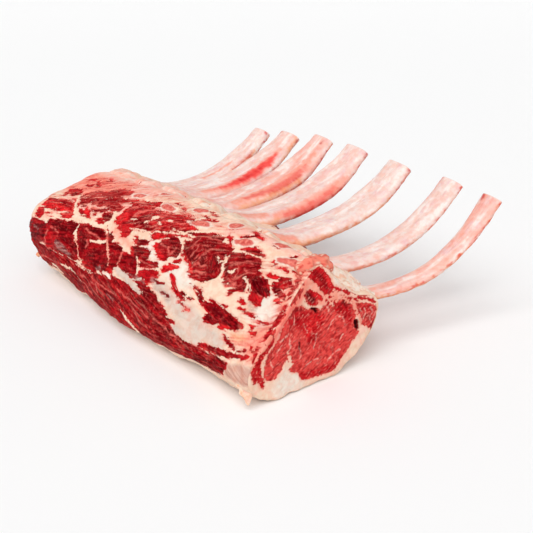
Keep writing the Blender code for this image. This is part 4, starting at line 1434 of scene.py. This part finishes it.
def rib_chart(line):
    """Each place on a rib: mm from the sawn tip, mm round from the middle of the top, and the girth."""
    points = np.stack([line.ring(row, line.radii[row]) for row in range(line.STATIONS)])
    steps = np.linalg.norm(np.roll(points, -1, axis=1) - points, axis=2)
    around = np.concatenate([np.zeros((line.STATIONS, 1)), np.cumsum(steps, axis=1)], axis=1) / MM
    girth = around[:, -1:]
    around = around[:, :-1]
    around = np.where(around > girth / 2, around - girth, around)
    return columns_of((line.run[-1] - line.run) / MM, line.SIDES), around, girth


def cloud_bone(paint, blush, grain, mottle, speckle):
    """Scraped bone: soft clouds of white and salmon drawn out along it."""
    paint.tint("fat", FAT["salmon"], blush * (0.7 + 0.3 * smooth(grain, -0.5, 0.8)))
    paint.tint("fat", FAT_TONE["rosy_bone"], 0.6 * smooth(mottle + 0.25 * grain, 0.0, 0.7))
    paint.tint("fat", FAT["pink"], 0.4 * smooth(-mottle + 0.25 * grain, 0.1, 0.8))
    cloud = paint.fibres(34.0, 8.0, 13) + 0.35 * speckle
    paint.tint("fat", FAT_TONE["white_bone"], 0.75 * smooth(cloud, 0.0, 0.8))
    paint.tint("fat", FAT_TONE["stained_bone"], (0.10 + 0.6 * blush) * smooth(-cloud, 0.1, 0.9))
    paint.tint("fat", FAT["salmon"], 0.35 * smooth(paint.u, 120, 215) * smooth(mottle + grain, -0.5, 0.8))


def paint_rib(index, u, around, girth):
    """Clouded bone, then the fat and flesh left on its edges and its own stains, and its relief in mm."""
    paint = Paint(u, around, 40 + index, "bone", warp=0.8, comb=1.2)
    grain = paint.fibres(26.0, 1.6, 3)
    mottle = flat_noise(u, around * 1.6, 12.0, 60 + index, 4)
    speckle = flat_noise(u, around, 7.0, 160 + index, 4)
    cloud_bone(paint, RIB_BLUSH[index], grain, mottle, speckle)
    share = around / girth  # 0.32 is the lower edge as the photograph sees it
    edge = smooth(around + 2.0 * speckle - 0.30 * girth, -5.0, -2.5) * smooth(-share, -0.45, -0.40)
    ragged = smooth(paint.fibres(9.0, 2.5, 8) + 0.4 * smooth(u, 40, 190), -0.1, 0.7)
    paint.tint("fat", FAT_TONE["rib_edge_fat"], 0.85 * edge * ragged)
    paint.tint("fat", FAT_TONE["rib_edge_flesh"], 0.85 * edge * smooth(speckle + 0.3 * grain, -0.05, 0.45))
    rooted = smooth(u, 180, 212) * smooth(share, 0.18, 0.26) * smooth(-share, -0.46, -0.40)
    paint.tint("fat", LEAN["red"], 0.8 * rooted * smooth(speckle + 0.4 * mottle, 0.2, 0.6))
    far_edge = smooth(-share, 0.14, 0.18) * smooth(share, -0.25, -0.20)
    paint.tint("fat", FAT["salmon"], 0.4 * far_edge * smooth(paint.fibres(14.0, 1.6, 18), 0.0, 0.7))
    for kind, *stroke in RIB_STROKES[index]:
        depth = paint.depth_at(paint.warped, stroke) + 2.5 * speckle
        paint.tint("fat", colour_of(kind), 0.8 * smooth(depth, -2.0, 2.4))
    relief = 0.22 * grain + 0.5 * mottle
    relief += 0.4 * edge * ragged * (0.5 + 0.5 * paint.fibres(5.0, 2.5, 12))
    return paint, relief * smooth(u, 0.0, 6.0)


def rib_rings(index, line, u, relief):
    """The rib's rings: broader along its middle, and flared and sunk at its root."""
    level = np.sin(turns_round(line.SIDES)) ** 2
    flare = 1 + (RIB_BREADTH[index] * smooth(u, 6, 60) + 0.16 * smooth(u, 165, 212)) * level[None]
    radii = line.radii * flare + relief * MM
    body = np.stack([line.ring(row, radii[row]) for row in range(line.STATIONS)])
    sunk = smooth(-line.run, -30 * MM, 0)[:, None, None]
    return body + sunk * (0.30 * (line.line[:, None] - body) - 10.0 * MM * line.up[:, None])


def sawn_tip(index, line, rim):
    """The sawn tip: a bevel, then the flat with its spongy marrow. Gives its rings and their colour."""
    centre = rim.mean(axis=0)
    tip = centre + (rim - centre)[None] * TIP_SHARES[:, None, None] + line.way[-1] * TIP_RISE[:, None, None]
    pits = layered(tip, 2.2 * MM, 70 + index, 2)
    tip += line.way[-1] * (0.35 * MM * pits * smooth(-TIP_SHARES, -0.9, -0.7)[:, None])[..., None]
    sponge = smooth(-TIP_SHARES, -0.86, -0.62)[:, None] * smooth(pits, -0.5, 0.7)
    bone, marrow = np.array(FAT["bone"]), np.array(FAT["marrow"])
    return tip, bone + (0.55 * sponge)[..., None] * (marrow - bone)


def make_rib(index, line):
    """One long rib: a flat bone with traces of membrane and flesh on its edges and a sawn tip."""
    u, around, girth = rib_chart(line)
    paint, relief = paint_rib(index, u, around, girth)
    body = rib_rings(index, line, u, relief)
    tip, tip_colour = sawn_tip(index, line, body[-1])
    pick = list(range(line.STATIONS)) + [line.STATIONS - 1] * len(tip)
    layers = paint.layers(pick, 0)
    layers["lean"][line.STATIONS :] = -4.0
    layers["fat_colour"][line.STATIONS :] = tip_colour
    return closed_tube(f"rib_{index + 1}", np.concatenate([body, tip]), layers)


def rib_distance(points):
    """How far points lie from the nearest rib's centre line seen from above, and that rib's root, in mm."""
    nearest = np.full(points.shape[:2], 1e3)
    past_root = np.zeros(points.shape[:2])
    for line in rib_lines:
        x, y = line.line[:, 0], line.line[:, 1]
        apart = np.abs(points[..., 0] - np.interp(points[..., 1], y, x)) / MM
        closer = apart < nearest
        nearest = np.where(closer, apart, nearest)
        past_root = np.where(closer, (points[..., 1] - y[0]) / MM, past_root)
    return nearest, past_root


# ---------------------------------------------------------------- the rib side and the fat cap


def flesh_between(paint, u, v, base, apart, past_root):
    """Windows of flesh between the ribs, low on the rib side, under a thin and broken skin."""
    wobble = 3.0 * flat_noise(u, v, 14.0, 21, 2)
    between = np.minimum(apart - 14.0 + wobble, past_root - 64 + 6 * wobble)
    between = np.minimum(between, v[:, -1:] - 13 + 4 * wobble - v)
    for inside in (rib_lines[0].line[0, 0] - base[..., 0], base[..., 0] - rib_lines[-1].line[0, 0]):
        between = np.minimum(between, inside / MM + 2 * wobble)
    paint.lean = np.maximum(paint.lean, between * 0.6)
    redder = smooth(flat_noise(u, v, 20.0, 23), 0.0, 0.5)
    paint.tint("lean", LEAN["maroon"], smooth(between, -2, 4))
    paint.tint("lean", LEAN["red"], 0.6 * smooth(between, 0, 6) * redder)
    sinew = fibre_noise(u, v, np.full(u.shape, 22.0), 26.0, 4.0, 27)
    paint.tint("lean", LEAN_TONE["sinew"], 0.7 * smooth(-np.abs(sinew), -0.14, -0.02))
    veil = smooth(flat_noise(u, v, 13.0, 24, 3), 0.05, 0.5) * smooth(between, -2, 3)
    paint.lean = paint.lean - 5.0 * veil * smooth(between, 0, 3)
    paint.tint("fat", FAT["pink"], smooth(between, -3, 2))
    paint.tint("fat", FAT["silver"], 0.6 * veil)


def rough_skin(paint, u, v, past_root):
    """White sinew and bits of flesh where the skin runs over the ridge to the ribs, and its relief."""
    rough = smooth(past_root, -50, -20) * smooth(-past_root, -40, -10)
    strand = fibre_noise(u, v, np.full(u.shape, 70.0), 18.0, 3.0, 28)
    paint.tint("fat", FAT["white"], 0.7 * rough * smooth(strand, 0.0, 0.6))
    paint.tint("fat", FAT["salmon"], 0.6 * rough * smooth(-strand, 0.2, 0.8))
    bits = fibre_noise(u, v, np.full(u.shape, 55.0), 9.0, 3.6, 29)
    paint.lean = np.maximum(paint.lean, rough * (2.5 * smooth(bits, 0.7, 1.2) + 1) - 2.6)
    paint.tint("lean", LEAN["bright"], rough * smooth(bits, 0.3, 0.9))
    return 0.7 * rough * strand


def rib_bed(apart, past_root):
    """How far the skin rises beside each rib and over its root, and sinks under it, in mm."""
    bank = smooth(-apart, -18.0, -13.0) * smooth(apart, 7.0, 11.0)
    raised = 2.4 * bank * smooth(past_root, -10, 4)
    raised += 4.5 * smooth(-np.hypot(apart, 0.8 * (past_root - 2)), -20.0, -8.0)
    return raised - 3.2 * smooth(-apart, -12.5, -9.0) * smooth(past_root, 14, 26)


def rib_side_painter(u, x, angle, base):
    """Fat over the ridge, then flesh between the ribs under a thin skin, and bone bedded in membrane."""
    v = side_height(u) + arc_from(x, angle, 0.0) / MM
    paint, streak = paint_side(u, v)
    apart, past_root = rib_distance(base)
    flesh_between(paint, u, v, base, apart, past_root)
    raised = rough_skin(paint, u, v, past_root) + rib_bed(apart, past_root)
    return paint, tissue_relief(paint, streak) + raised * MM


# the fat cap's chart: u as above, and v is millimetres round from the rib side
CAP_STROKES = [
    ("salmon", (10, 14, 4), (120, 10, 5), (240, 14, 4), (390, 12, 3)),
    ("pink", (30, 60, 18), (140, 52, 14), (260, 66, 18), (380, 58, 14)),
    ("pink", (80, 110, 14), (200, 120, 18), (330, 108, 12)),
    ("orange", (6, 100, 6), (20, 60, 6), (10, 150, 8)),
    ("silver", (60, 90, 10), (160, 86, 12), (300, 92, 12)),
]
CAP_SEAMS = [
    ("rose", (20, 40, 0.5), (90, 36, 0.7), (170, 44, 0.5), (250, 40, 0.6)),
    ("rose", (120, 74, 0.5), (200, 80, 0.7), (290, 76, 0.5)),
    ("rose", (210, 118, 0.5), (280, 112, 0.6), (370, 116, 0.5)),
    ("rose", (30, 128, 0.6), (90, 122, 0.7), (150, 130, 0.5)),
    ("red", (300, 30, 0.8), (330, 33, 1.2), (352, 31, 0.6)),
    ("red", (60, 150, 1), (84, 153, 1.6), (110, 151, 0.8)),
    ("brown", (0, 20, 5), (8, 60, 4), (4, 110, 5), (2, 160, 6)),
]


def cap_painter(u, x, angle, base):
    """The fat cap: thick pale fat with rosy seams where the skin was drawn off."""
    v = arc_from(x, angle, FAT_RIB_ANGLE) / MM
    paint = Paint(u, v, 90, "cream", 4)
    for kind, *points in CAP_STROKES:
        paint.wash("fat", kind, *points, strength=0.7, soft=8.0)
    for kind, *points in CAP_SEAMS:
        paint.lay(kind, *points)
    streak = paint.streak(halo=0.5)
    scored = flat_noise(u * 0.5, v, 26.0, 95, 2)
    return paint, tissue_relief(paint, streak) + 0.6 * scored * MM


# ---------------------------------------------------------------- the two cut ends
# u and v are millimetres across and up, from the spine side's edge and the floor.

LOIN_FIBRES = [(28, (60, 40, 40), (110, 45, 40)), (70, (30, 60, 10), (60, 98, 8))]
LOIN_AREAS = [
    (
        "flesh",
        (22.7, 37), (22, 27.5), (26, 23.5), (34, 23), (38.7, 27.5), (42.7, 33), (46.7, 38), (52.7, 34.2),
        (57, 31), (51.3, 27), (52.7, 23.5), (60.7, 19.5), (64.7, 11.5), (75.3, 8.2), (100.7, 8.2),
        (108.7, 13), (118, 21), (123.3, 27.5), (128.7, 33), (133.3, 38), (131.3, 45), (128, 50),
        (127.3, 58), (124.7, 66), (120.7, 71), (114, 77), (107.3, 78), (102, 71.5), (96.7, 75.5),
        (91.3, 77), (86, 74), (75.3, 78), (68.7, 81), (62, 86), (58, 86), (52.7, 81), (47.3, 77),
        (43.3, 71.5), (39.3, 65), (35.3, 58), (30, 53), (24.7, 49), (22.7, 43.5),
    ),
    # the strip down from the ridge
    (
        "red",
        (70, 112), (74, 117), (84, 117), (92, 109), (97, 100), (101, 91), (96, 87), (90, 88), (84, 97),
        (77, 105),
    ),
    ("red", (66, 95), (70, 98), (78, 94), (86, 88), (87, 84), (80, 81), (73, 84), (68, 89)),
    ("brown", (50, 90), (54, 98), (60, 104), (66, 108), (67, 101), (61, 96), (56, 91)),
    # the lump at the rib side
    (
        "flesh",
        (124, 69), (138, 66), (151, 61), (157, 54), (160, 46), (157, 37), (151, 35), (146, 40), (140, 44),
        (135, 50), (130, 59),
    ),
]
LOIN_STROKES = [
    ("red", (14, 46, 1.4), (10, 38, 2.4), (12, 29, 2.4)),
    ("red", (18, 51, 1.8), (15.5, 42, 1.6), (16, 33, 2), (19, 24, 2.4), (21, 19, 1.6)),
    ("red", (21, 52, 1.4), (26, 57, 2), (31, 62, 1.4)),
    ("flesh", (30, 68, 0.8), (38, 78, 1.2), (46, 86, 1.2)),
    ("brown", (36, 76, 1), (44, 86, 1.6), (52, 95, 1.4)),
    ("dark", (69, 95, 2), (73, 90, 2.6), (77, 86, 2)),
    ("bright", (80, 91, 2), (84, 86, 2)),
    ("maroon", (80, 112, 2), (86, 104, 2.4), (93, 95, 1.6)),
    ("bright", (90, 106, 1.4), (96, 96, 1.6)),
    ("red", (97, 84, 0.8), (101, 79, 1.2), (103, 74, 0.8)),
    ("red", (92, 82, 0.7), (95, 77, 0.9)),
    # thin flesh in the fat above the lump
    ("red", (103, 91, 0.8), (112, 86, 1), (120, 81, 0.8)),
    ("red", (108, 82, 0.7), (120, 76, 1), (132, 70, 0.8)),
    ("brown", (122, 82, 1), (134, 78, 2), (142, 72, 1.2)),
    ("red", (132, 74, 0.6), (144, 68, 0.9), (153, 63, 0.7)),
    # tones inside the eye and the lump
    ("red", (52, 76, 5), (66, 70, 9), (80, 62, 9), (76, 48, 5)),
    ("bright", (72, 58, 5), (78, 66, 6), (88, 66, 3)),
    ("red", (108, 70, 5), (118, 64, 5), (122, 52, 3)),
    ("red", (66, 15, 3), (84, 11, 3), (102, 12, 3), (112, 19, 2)),
    ("maroon", (50, 79, 1.6), (57, 84, 1.8), (64, 81, 1.4)),
    ("maroon", (112, 75, 1.4), (120, 70, 1.4)),
    ("maroon", (153, 38, 2.4), (158, 44, 1.8)),
    ("red", (134, 60, 3), (144, 60, 3), (150, 56, 2)),
    ("brown", (140, 52, 2), (150, 48, 2)),
]
LOIN_SEAMS = [
    ("salmon", (82, 84, 1), (90, 79, 1.6), (100, 81, 2), (112, 80, 1.4), (120, 73, 1.4)),
    ("salmon", (64, 104, 1.2), (72, 99, 1), (80, 98, 1.4), (90, 84, 1.2)),
    ("salmon", (124.7, 73, 1.6), (129, 61, 1.4), (133, 53, 1.2), (138, 45, 1)),
    ("cream", (52, 34, 1.2), (49, 41, 0.7), (48, 46, 0.3)),
]
# thin marbling that only just shows: half width, then points
LOIN_LINES = [
    (0.5, (49, 57), (50, 50), (48, 45)),
    (0.5, (38, 57), (43, 60), (48, 63)),
    (0.5, (83, 51), (82, 45), (79, 38)),
    (0.4, (60, 46), (64, 38), (63, 33)),
    (0.4, (36, 45), (38, 50), (42, 53)),
    (0.3, (66, 66), (69, 60), (71, 56)),
    (0.3, (96, 52), (100, 58), (104, 60)),
    (0.3, (110, 36), (114, 42)),
    (0.3, (98, 22), (104, 26), (110, 27)),
    (0.3, (54, 70), (55, 76)),
    (0.3, (108, 62), (113, 58), (116, 52)),
    (0.4, (93, 76), (97, 71), (100, 66)),
    (0.3, (28, 42), (30, 36)),
    (0.3, (70, 24), (78, 27), (84, 26)),
    (0.4, (140, 60), (143, 55), (140, 49)),
    (0.4, (147, 60), (151, 54), (148, 47), (152, 42)),
    (0.3, (134, 62), (137, 57)),
    (0.4, (155, 52), (153, 46)),
]
LOIN_FAT = [
    ("salmon", (62, 104, 10), (52, 88, 8), (40, 72, 7), (24, 56, 6)),
    ("rose", (66, 104, 6), (54, 90, 4), (42, 75, 3), (26, 58, 3)),
    ("salmon", (88, 84, 6), (104, 82, 6), (118, 74, 5), (130, 60, 3)),
    ("salmon", (8, 50, 8), (18, 62, 6)),
    ("white", (108, 98, 6), (120, 90, 6), (138, 80, 5), (152, 68, 4)),
    ("salmon", (76, 104, 7), (90, 96, 5), (102, 86, 4)),
    ("pink", (140, 36, 5), (122, 18, 4)),
    ("white", (40, 12, 10), (60, 8, 8), (44, 22, 6)),
    ("cream", (130, 22, 10), (146, 30, 6)),
]
# holes, painted near black as shade: depth, then a stroke
LOIN_HOLLOWS = [
    (2.6, (129.4, 50, 1.4), (130.6, 46, 2.8), (132.6, 42, 2.0)),
    (2.0, (76, 78.6, 0.8), (80, 77, 1.2), (82, 72.6, 0.8)),
    (1.6, (60.7, 49.6, 0.5), (60.9, 46, 0.8), (60.7, 43, 0.5)),
]

CHUCK_AREAS = [
    (
        "maroon",
        (4, 60), (8, 78), (22, 90), (44, 97), (66, 96), (72, 86), (66, 72), (52, 60), (34, 52), (16, 50),
    ),
    (
        "red",
        (60, 62), (74, 76), (92, 78), (112, 72), (128, 60), (132, 44), (120, 30), (98, 24), (76, 26),
        (60, 38), (56, 50),
    ),
    ("maroon", (6, 44), (22, 46), (42, 50), (52, 46), (52, 32), (40, 22), (22, 18), (8, 26)),
    ("red", (86, 86), (100, 97), (118, 95), (136, 84), (150, 72), (144, 66), (128, 70), (110, 80), (96, 83)),
    ("brown", (140, 58), (152, 62), (166, 66), (172, 54), (164, 40), (148, 36), (138, 44)),
    ("maroon", (60, 20), (84, 18), (110, 20), (128, 26), (138, 34), (146, 28), (130, 14), (100, 8), (70, 10)),
    ("dark", (78, 88), (84, 102), (92, 101), (84, 86)),
]
CHUCK_SEAMS = [
    ("cream", (10, 62, 0.7), (30, 72, 1.2), (52, 78, 0.9), (66, 90, 0.6)),
    ("cream", (36, 56, 0.5), (40, 68, 0.8), (36, 84, 0.6)),
    ("cream", (70, 32, 0.6), (84, 44, 1), (102, 48, 1), (122, 44, 0.5)),
    ("cream", (84, 70, 0.5), (92, 58, 0.8), (90, 48, 0.5)),
    ("cream", (108, 66, 0.5), (112, 54, 0.8), (110, 42, 0.5)),
    ("cream", (14, 36, 0.6), (30, 38, 0.9), (46, 42, 0.6)),
    ("cream", (80, 14, 0.6), (106, 15, 0.9), (126, 22, 0.6)),
    ("cream", (110, 90, 0.5), (128, 80, 0.8), (142, 72, 0.5)),
]


def flecks(paint):
    """Short pale flecks of marbling along the fibres, away from the lean's own border."""
    web = paint.fibres(4.8, 1.35, 7) + 0.5 * flat_noise(paint.u, paint.v, 12.0, 10, 2)
    line = smooth(web, 0.61, 0.91) * smooth(paint.lean, 0.5, 2.5)
    paint.tint("lean", LEAN_TONE["fleck"], 0.62 * line)


def marbling_lines(paint, lines):
    """Thin, broken lines of fat across a cut muscle."""
    broken = smooth(flat_noise(paint.u, paint.v, 3.0, paint.seed + 70, 2), -0.5, 0.1)
    for half_width, *points in lines:
        depth = paint.depth_at(paint.warped, [(u, v, half_width) for u, v in points])
        paint.tint("lean", LEAN_TONE["marbling"], 0.85 * broken * smooth(depth, -0.9, 0.3))


def tone_cut(paint, shade):
    """A cut's fine tones: painted shade on the low grain and a painted highlight on the raised grain of the
    lean, torn edges, and rosy patches in the fat.
    """
    # painted shade on the low grain and a painted highlight on the raised grain, following the cut's fine
    # relief
    paint.tint("lean", LEAN["maroon"], 0.40 * smooth(-shade, 0.0, 0.5))
    paint.tint("lean", LEAN_TONE["painted_cut_highlight"], 0.34 * smooth(shade, 0.0, 0.6))
    pores = flat_noise(paint.u, paint.v, 3.0, paint.seed + 17, 2)
    near = smooth(paint.lean, -5.0, -1.0) * smooth(-paint.lean, -0.5, 0.5)
    paint.lean = paint.lean + 3.0 * near * smooth(pores, 0.45, 0.8)
    paint.tint("fat", FAT["salmon"], 0.6 * smooth(paint.lean, -2.4, 0.2))
    blotch = flat_noise(paint.u, paint.v, 9.0, paint.seed + 9, 3)
    paint.tint("fat", FAT["pink"], 0.35 * smooth(blotch, 0.0, 0.6))


def sink_hollows(paint, hollows):
    """Holes sunk in the cut, painted near black as the shade inside them. Gives how deep each place lies in
    them, in millimetres.
    """
    sunk = np.zeros(paint.u.shape)
    for depth, *points in hollows:
        inside = smooth(paint.depth_at(paint.warped, points), -1.2, 0.8)
        sunk += depth * inside
        for layer in ("lean", "fat"):
            # painted shade inside the hole
            paint.tint(layer, LEAN_TONE["painted_hole_shade"], inside)
        paint.lean = np.where(inside > 0.4, np.maximum(paint.lean, 2.0), paint.lean)
    return sunk


def face_painter(seed, ground, angle, areas, seams, fibres=(), fat=(), lines=(), hollows=()):
    """A painter for one cut end, which gives its paint and relief."""

    def painter(u, v):
        """The paint and the relief at each place of the cut."""
        paint = Paint(u, v, seed, ground, angle, fibres, warp=1.1, comb=0.6)
        for kind, *points in fat:
            paint.wash("fat", kind, *points)
        for kind, *points in areas:
            paint.lay(kind, *points)
        for kind, *points in seams:
            paint.seam(kind, *points)
        flecks(paint)
        marbling_lines(paint, lines)
        grain = 0.55 * paint.fibres(5.0, 1.3, 5)
        mottle = flat_noise(u, v, 4.5, seed + 15, 3)
        # the grain and mottle also raise the relief below, so the tones that follow them are painted shade
        # and highlight
        tone_cut(paint, grain + 0.5 * mottle)
        relief = 0.45 * smooth(-paint.lean, -0.2, 2.0) + 0.30 * grain + 0.25 * mottle
        relief += 0.5 * flat_noise(u, v, 24.0, seed + 11, 2) + 0.35 * flat_noise(u, v, 5.0, seed + 12, 2)
        return paint, (relief - sink_hollows(paint, hollows)) * MM

    return painter


loin_painter = face_painter(
    110, "cream", 25, LOIN_AREAS + LOIN_STROKES, LOIN_SEAMS, LOIN_FIBRES, LOIN_FAT, LOIN_LINES, LOIN_HOLLOWS
)
chuck_painter = face_painter(130, "pink", -35, CHUCK_AREAS, CHUCK_SEAMS)


def end_profile(cut, turn, edge_round, rim, rings_in):
    """Rings over the rim's rounding and in to the middle: their radii, their x, and how far they face out."""
    turns = np.radians(np.linspace(36, 90, max(9, round(edge_round * 0.95 / (1.3 * MM)))))
    radii = [rim - edge_round * (1 - math.cos(t)) for t in turns]
    places = [cut - turn * edge_round * (1 - math.sin(t)) for t in turns]
    outward = [math.sin(t) for t in turns]
    for share in np.linspace(1, 0.012, rings_in)[1:]:
        radii.append((rim - edge_round) * share)
        places.append(cut)
        outward.append(1.0)
    return np.array(radii), np.array(places), np.array(outward)


def drawn_in(ring, turn):
    """The two rings behind a cut end's rim, which close it inside the roast."""
    back = ring.copy()
    back[..., 0] -= turn * 2 * MM
    behind = back.copy()
    behind[..., 1] = AXIS_Y + (behind[..., 1] - AXIS_Y) * 0.4
    behind[..., 2] = AXIS_Z + (behind[..., 2] - AXIS_Z) * 0.4
    return [behind, back]


def end_face(name, cut, turn, edge_round, painter, steps_round, rings_in):
    """A cut end: the rim's rounding, then rings in to the middle. turn is 1 at the +x end, else -1."""
    angle = np.arange(steps_round) * 360 / steps_round
    rim = skin.at(np.full(steps_round, cut - turn * edge_round), angle)
    radii, places, outward = end_profile(cut, turn, edge_round, rim, rings_in)
    across, up = -np.cos(np.radians(angle)), np.sin(np.radians(angle))
    y, z = AXIS_Y + radii * across, AXIS_Z + radii * up
    base = np.stack([columns_of(places, steps_round), y, z], -1)
    paint, relief = painter((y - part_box("fat_cap")[0].y) / MM, z / MM)
    level = np.sqrt(1 - outward**2)[:, None]
    normal = np.stack([columns_of(turn * outward, steps_round), across * level, up * level], -1)
    tuck = -3.0 * MM * smooth(-np.arange(len(radii)), -2.2, 0.2)[:, None]
    outer = above_floor(base + normal * (lumps(base) * 0.8 + relief + tuck)[..., None])
    rings = np.concatenate(drawn_in(outer[:1], turn) + [outer])
    return closed_tube(name, rings, paint.layers([0, 0] + list(range(len(radii))), 0))


# ---------------------------------------------------------------- loose ends of fat and membrane


LOOSE_STEPS, LOOSE_SIDES = 60, 28


def sliver_layers(u, v, colours, seed):
    """The vertex attributes of a loose end: two tones of fat in patches, and a third in thin stains."""
    first, second, third = (np.array(colour_of(kind)) for kind in colours)
    tone = flat_noise(u, v * 2, 9.0, seed, 3)
    fat = first + smooth(tone, 0.0, 0.6)[..., None] * (second - first)
    stain = smooth(fibre_noise(u, v, np.zeros(u.shape), 12.0, 1.2, seed + 3), 0.25, 0.8)
    fat = fat + 0.7 * stain[..., None] * (third - fat)
    grain = np.stack([u / 12, v, np.full(u.shape, seed * 1.7)], -1)
    layers = {"lean": np.full(u.shape, -4.0), "marbling": np.zeros(u.shape), "grain": grain}
    return layers | {"lean_colour": fat * 0.5, "fat_colour": fat}


def sliver(name, path, half_widths, half_depths, colours, seed, flat, ragged):
    """A tapering tongue of fat along a path, with ragged edges. flat is the way its thin side faces."""
    line, at = spread_evenly(np.array(path, float) * MM, LOOSE_STEPS)
    line = blurred(line, 4.0, 0, False)
    width, depth = (
        np.interp(at / at[-1], np.linspace(0, 1, len(sizes)), sizes)[:, None] * MM
        for sizes in (half_widths, half_depths)
    )
    way = unit(np.gradient(line, axis=0))
    across = unit(np.cross(way, np.array(flat, float)))
    up = np.cross(across, way)
    turn = turns_round(LOOSE_SIDES)
    rings = line[:, None] + across[:, None] * (width * np.cos(turn))[..., None]
    rings = rings + up[:, None] * (depth * np.sin(turn))[..., None]
    rings = rings + (rings - line[:, None]) * (ragged * layered(rings, 6 * MM, seed, 3))[..., None]
    rings = above_floor(rings + 0.5 * MM * layered(rings, 12 * MM, seed + 5, 2)[..., None])
    u, v = columns_of(at, LOOSE_SIDES) / MM, width / MM * turn
    return closed_tube(name, rings, sliver_layers(u, v, colours, seed))


# name, path, half widths and half depths along it, colours, seed, the way the thin side faces, and how
# ragged it is, in millimetres
UPRIGHT, OFF_SKIN = (0, 0, 1), (0.5, -0.3, 0.8)
LOOSE_ENDS = [
    (
        "knob", [(181, -90, 112), (184, -76, 117), (185, -62, 114), (183, -50, 103)],
        (4, 8.5, 9.5, 4), (4, 7, 8, 4), ("knob", "cream", "red"), 231, UPRIGHT, 0.35,
    ),
    (
        "upper_flap", [(186, -64, 108), (184, -44, 98), (180, -23, 85.5), (174, -2, 72)],
        (7, 9, 7, 1.5), (5, 5.5, 4.6, 1.5), ("flap", "cream", "orange"), 237, OFF_SKIN, 0.16,
    ),
    (
        "lower_flap", [(190, -54, 98), (189, -32, 86), (186, -9, 72.5), (182, 14, 60)],
        (5, 6, 4.6, 1), (2.4, 2.2, 1.8, 0.6), ("flap", "cream", "orange"), 241, OFF_SKIN, 0.16,
    ),
    (
        "near_nib", [(183, -148, 32), (187, -149.6, 22), (190, -151.4, 13), (192, -152.4, 4.5)],
        (10, 8, 4.6, 0.9), (3.4, 2.8, 2, 0.6), ("cream", "pink", "orange"), 211, (0.78, -0.63, 0), 0.35,
    ),
    (
        "far_nib", [(-186, -147, 38), (-191, -155, 32), (-196, -162, 25)],
        (6, 5, 2), (3, 2.4, 1.2), ("orange", "cream", "salmon"), 223, (0.7, -0.7, 0), 0.35,
    ),
]


# ---------------------------------------------------------------- build

rows = meridian(52, 62, 0.95 * MM, 1.25 * MM)
cap_rows = meridian(52, 62, 1.5 * MM, 1.6 * MM)

# the plates overlap a little at their edges
spine_side = plate("spine_side", FAT_SPINE_ANGLE - 3, RIDGE_ANGLE + 3, 186, rows, side_painter)
finish_piece(spine_side, meat_material, "lean", "meat")
rib_side = plate("rib_side", RIDGE_ANGLE - 3, FAT_RIB_ANGLE + 3, 106, rows, rib_side_painter)
finish_piece(rib_side, meat_material, "lean")
fat_cap = plate("fat_underside", FAT_RIB_ANGLE - 2, 360 + FAT_SPINE_ANGLE + 2, 130, cap_rows, cap_painter)
finish_piece(fat_cap, fat_material, "fat", "fat_cap")
loin_face = end_face("loin_face", LOIN_X, 1, LOIN_ROUND, loin_painter, 440, 84)
finish_piece(loin_face, face_material, "lean")
chuck_face = end_face("chuck_face", CHUCK_X, -1, CHUCK_ROUND, chuck_painter, 340, 50)
finish_piece(chuck_face, face_material, "lean")
for shape in LOOSE_ENDS:
    finish_piece(sliver(*shape), fat_material, "fat")
for index, line in enumerate(rib_lines):
    finish_piece(make_rib(index, line), bone_material, "bone", RIB_NODES[index])


# ---------------------------------------------------------------- camera, light and floor


def add_camera():
    """The photograph's view: from the near cut and the spine side, 23 degrees down."""
    data = bpy.data.cameras.new("camera")
    data.sensor_width = 36.0
    data.lens = 59.59
    camera = linked("camera", data)
    camera.location = (0.71443628, -0.55419352, 0.41661437)
    camera.rotation_euler = (math.radians(90 - 23.0), 0, math.radians(50.987))
    bpy.context.scene.camera = camera


def add_sun(name, direction, strength, angle):
    """A wide, soft light from a direction, so that the floor is lit evenly."""
    data = bpy.data.lights.new(name, "SUN")
    data.energy = strength
    data.angle = math.radians(angle)
    lamp = linked(name, data)
    lamp.rotation_euler = (-Vector(direction)).to_track_quat("-Z", "Y").to_euler()


def add_floor():
    """A flat floor that curves up far off on every side, so that no edge of it shows from low down."""
    mesh = bpy.data.meshes.new("floor")
    sides = 96
    turn = turns_round(sides)
    points, faces = [(0, 0, 0)], []
    for radius in (1.5, 3.0, 3.5, 4.0, 4.5, 5.0, 5.5, 6.0, 6.5, 7.0):
        height = 1.6 * smooth(radius, 3.0, 8.5)
        points += [(radius * math.cos(t), radius * math.sin(t), height) for t in turn]
    for side in range(sides):
        after = (side + 1) % sides
        faces.append((0, 1 + side, 1 + after))
        for start in range(1, len(points) - sides, sides):
            faces.append((start + side, start + sides + side, start + sides + after, start + after))
    mesh.from_pydata(points, [], faces)
    mesh.shade_smooth()
    floor = linked("floor", mesh)
    n = Nodes("pale_floor")
    n.shader.inputs["Base Color"].default_value = (0.9, 0.9, 0.9, 1)
    n.shader.inputs["Roughness"].default_value = 0.9
    mesh.materials.append(n.material)
    floor.location.z = -0.5 * MM


def add_world():
    """Even white light from all round."""
    world = bpy.data.worlds.new("studio")
    world.use_nodes = True
    background = world.node_tree.nodes["Background"].inputs
    background["Color"].default_value = (1, 1, 1, 1)
    background["Strength"].default_value = 0.46
    bpy.context.scene.world = world


bpy.context.scene.view_settings.view_transform = "Standard"
add_camera()
add_floor()
add_world()
add_sun("key", (0.30, -0.62, 1.0), 2.0, 50)
add_sun("fill", (1.0, -0.35, 0.55), 0.55, 70)
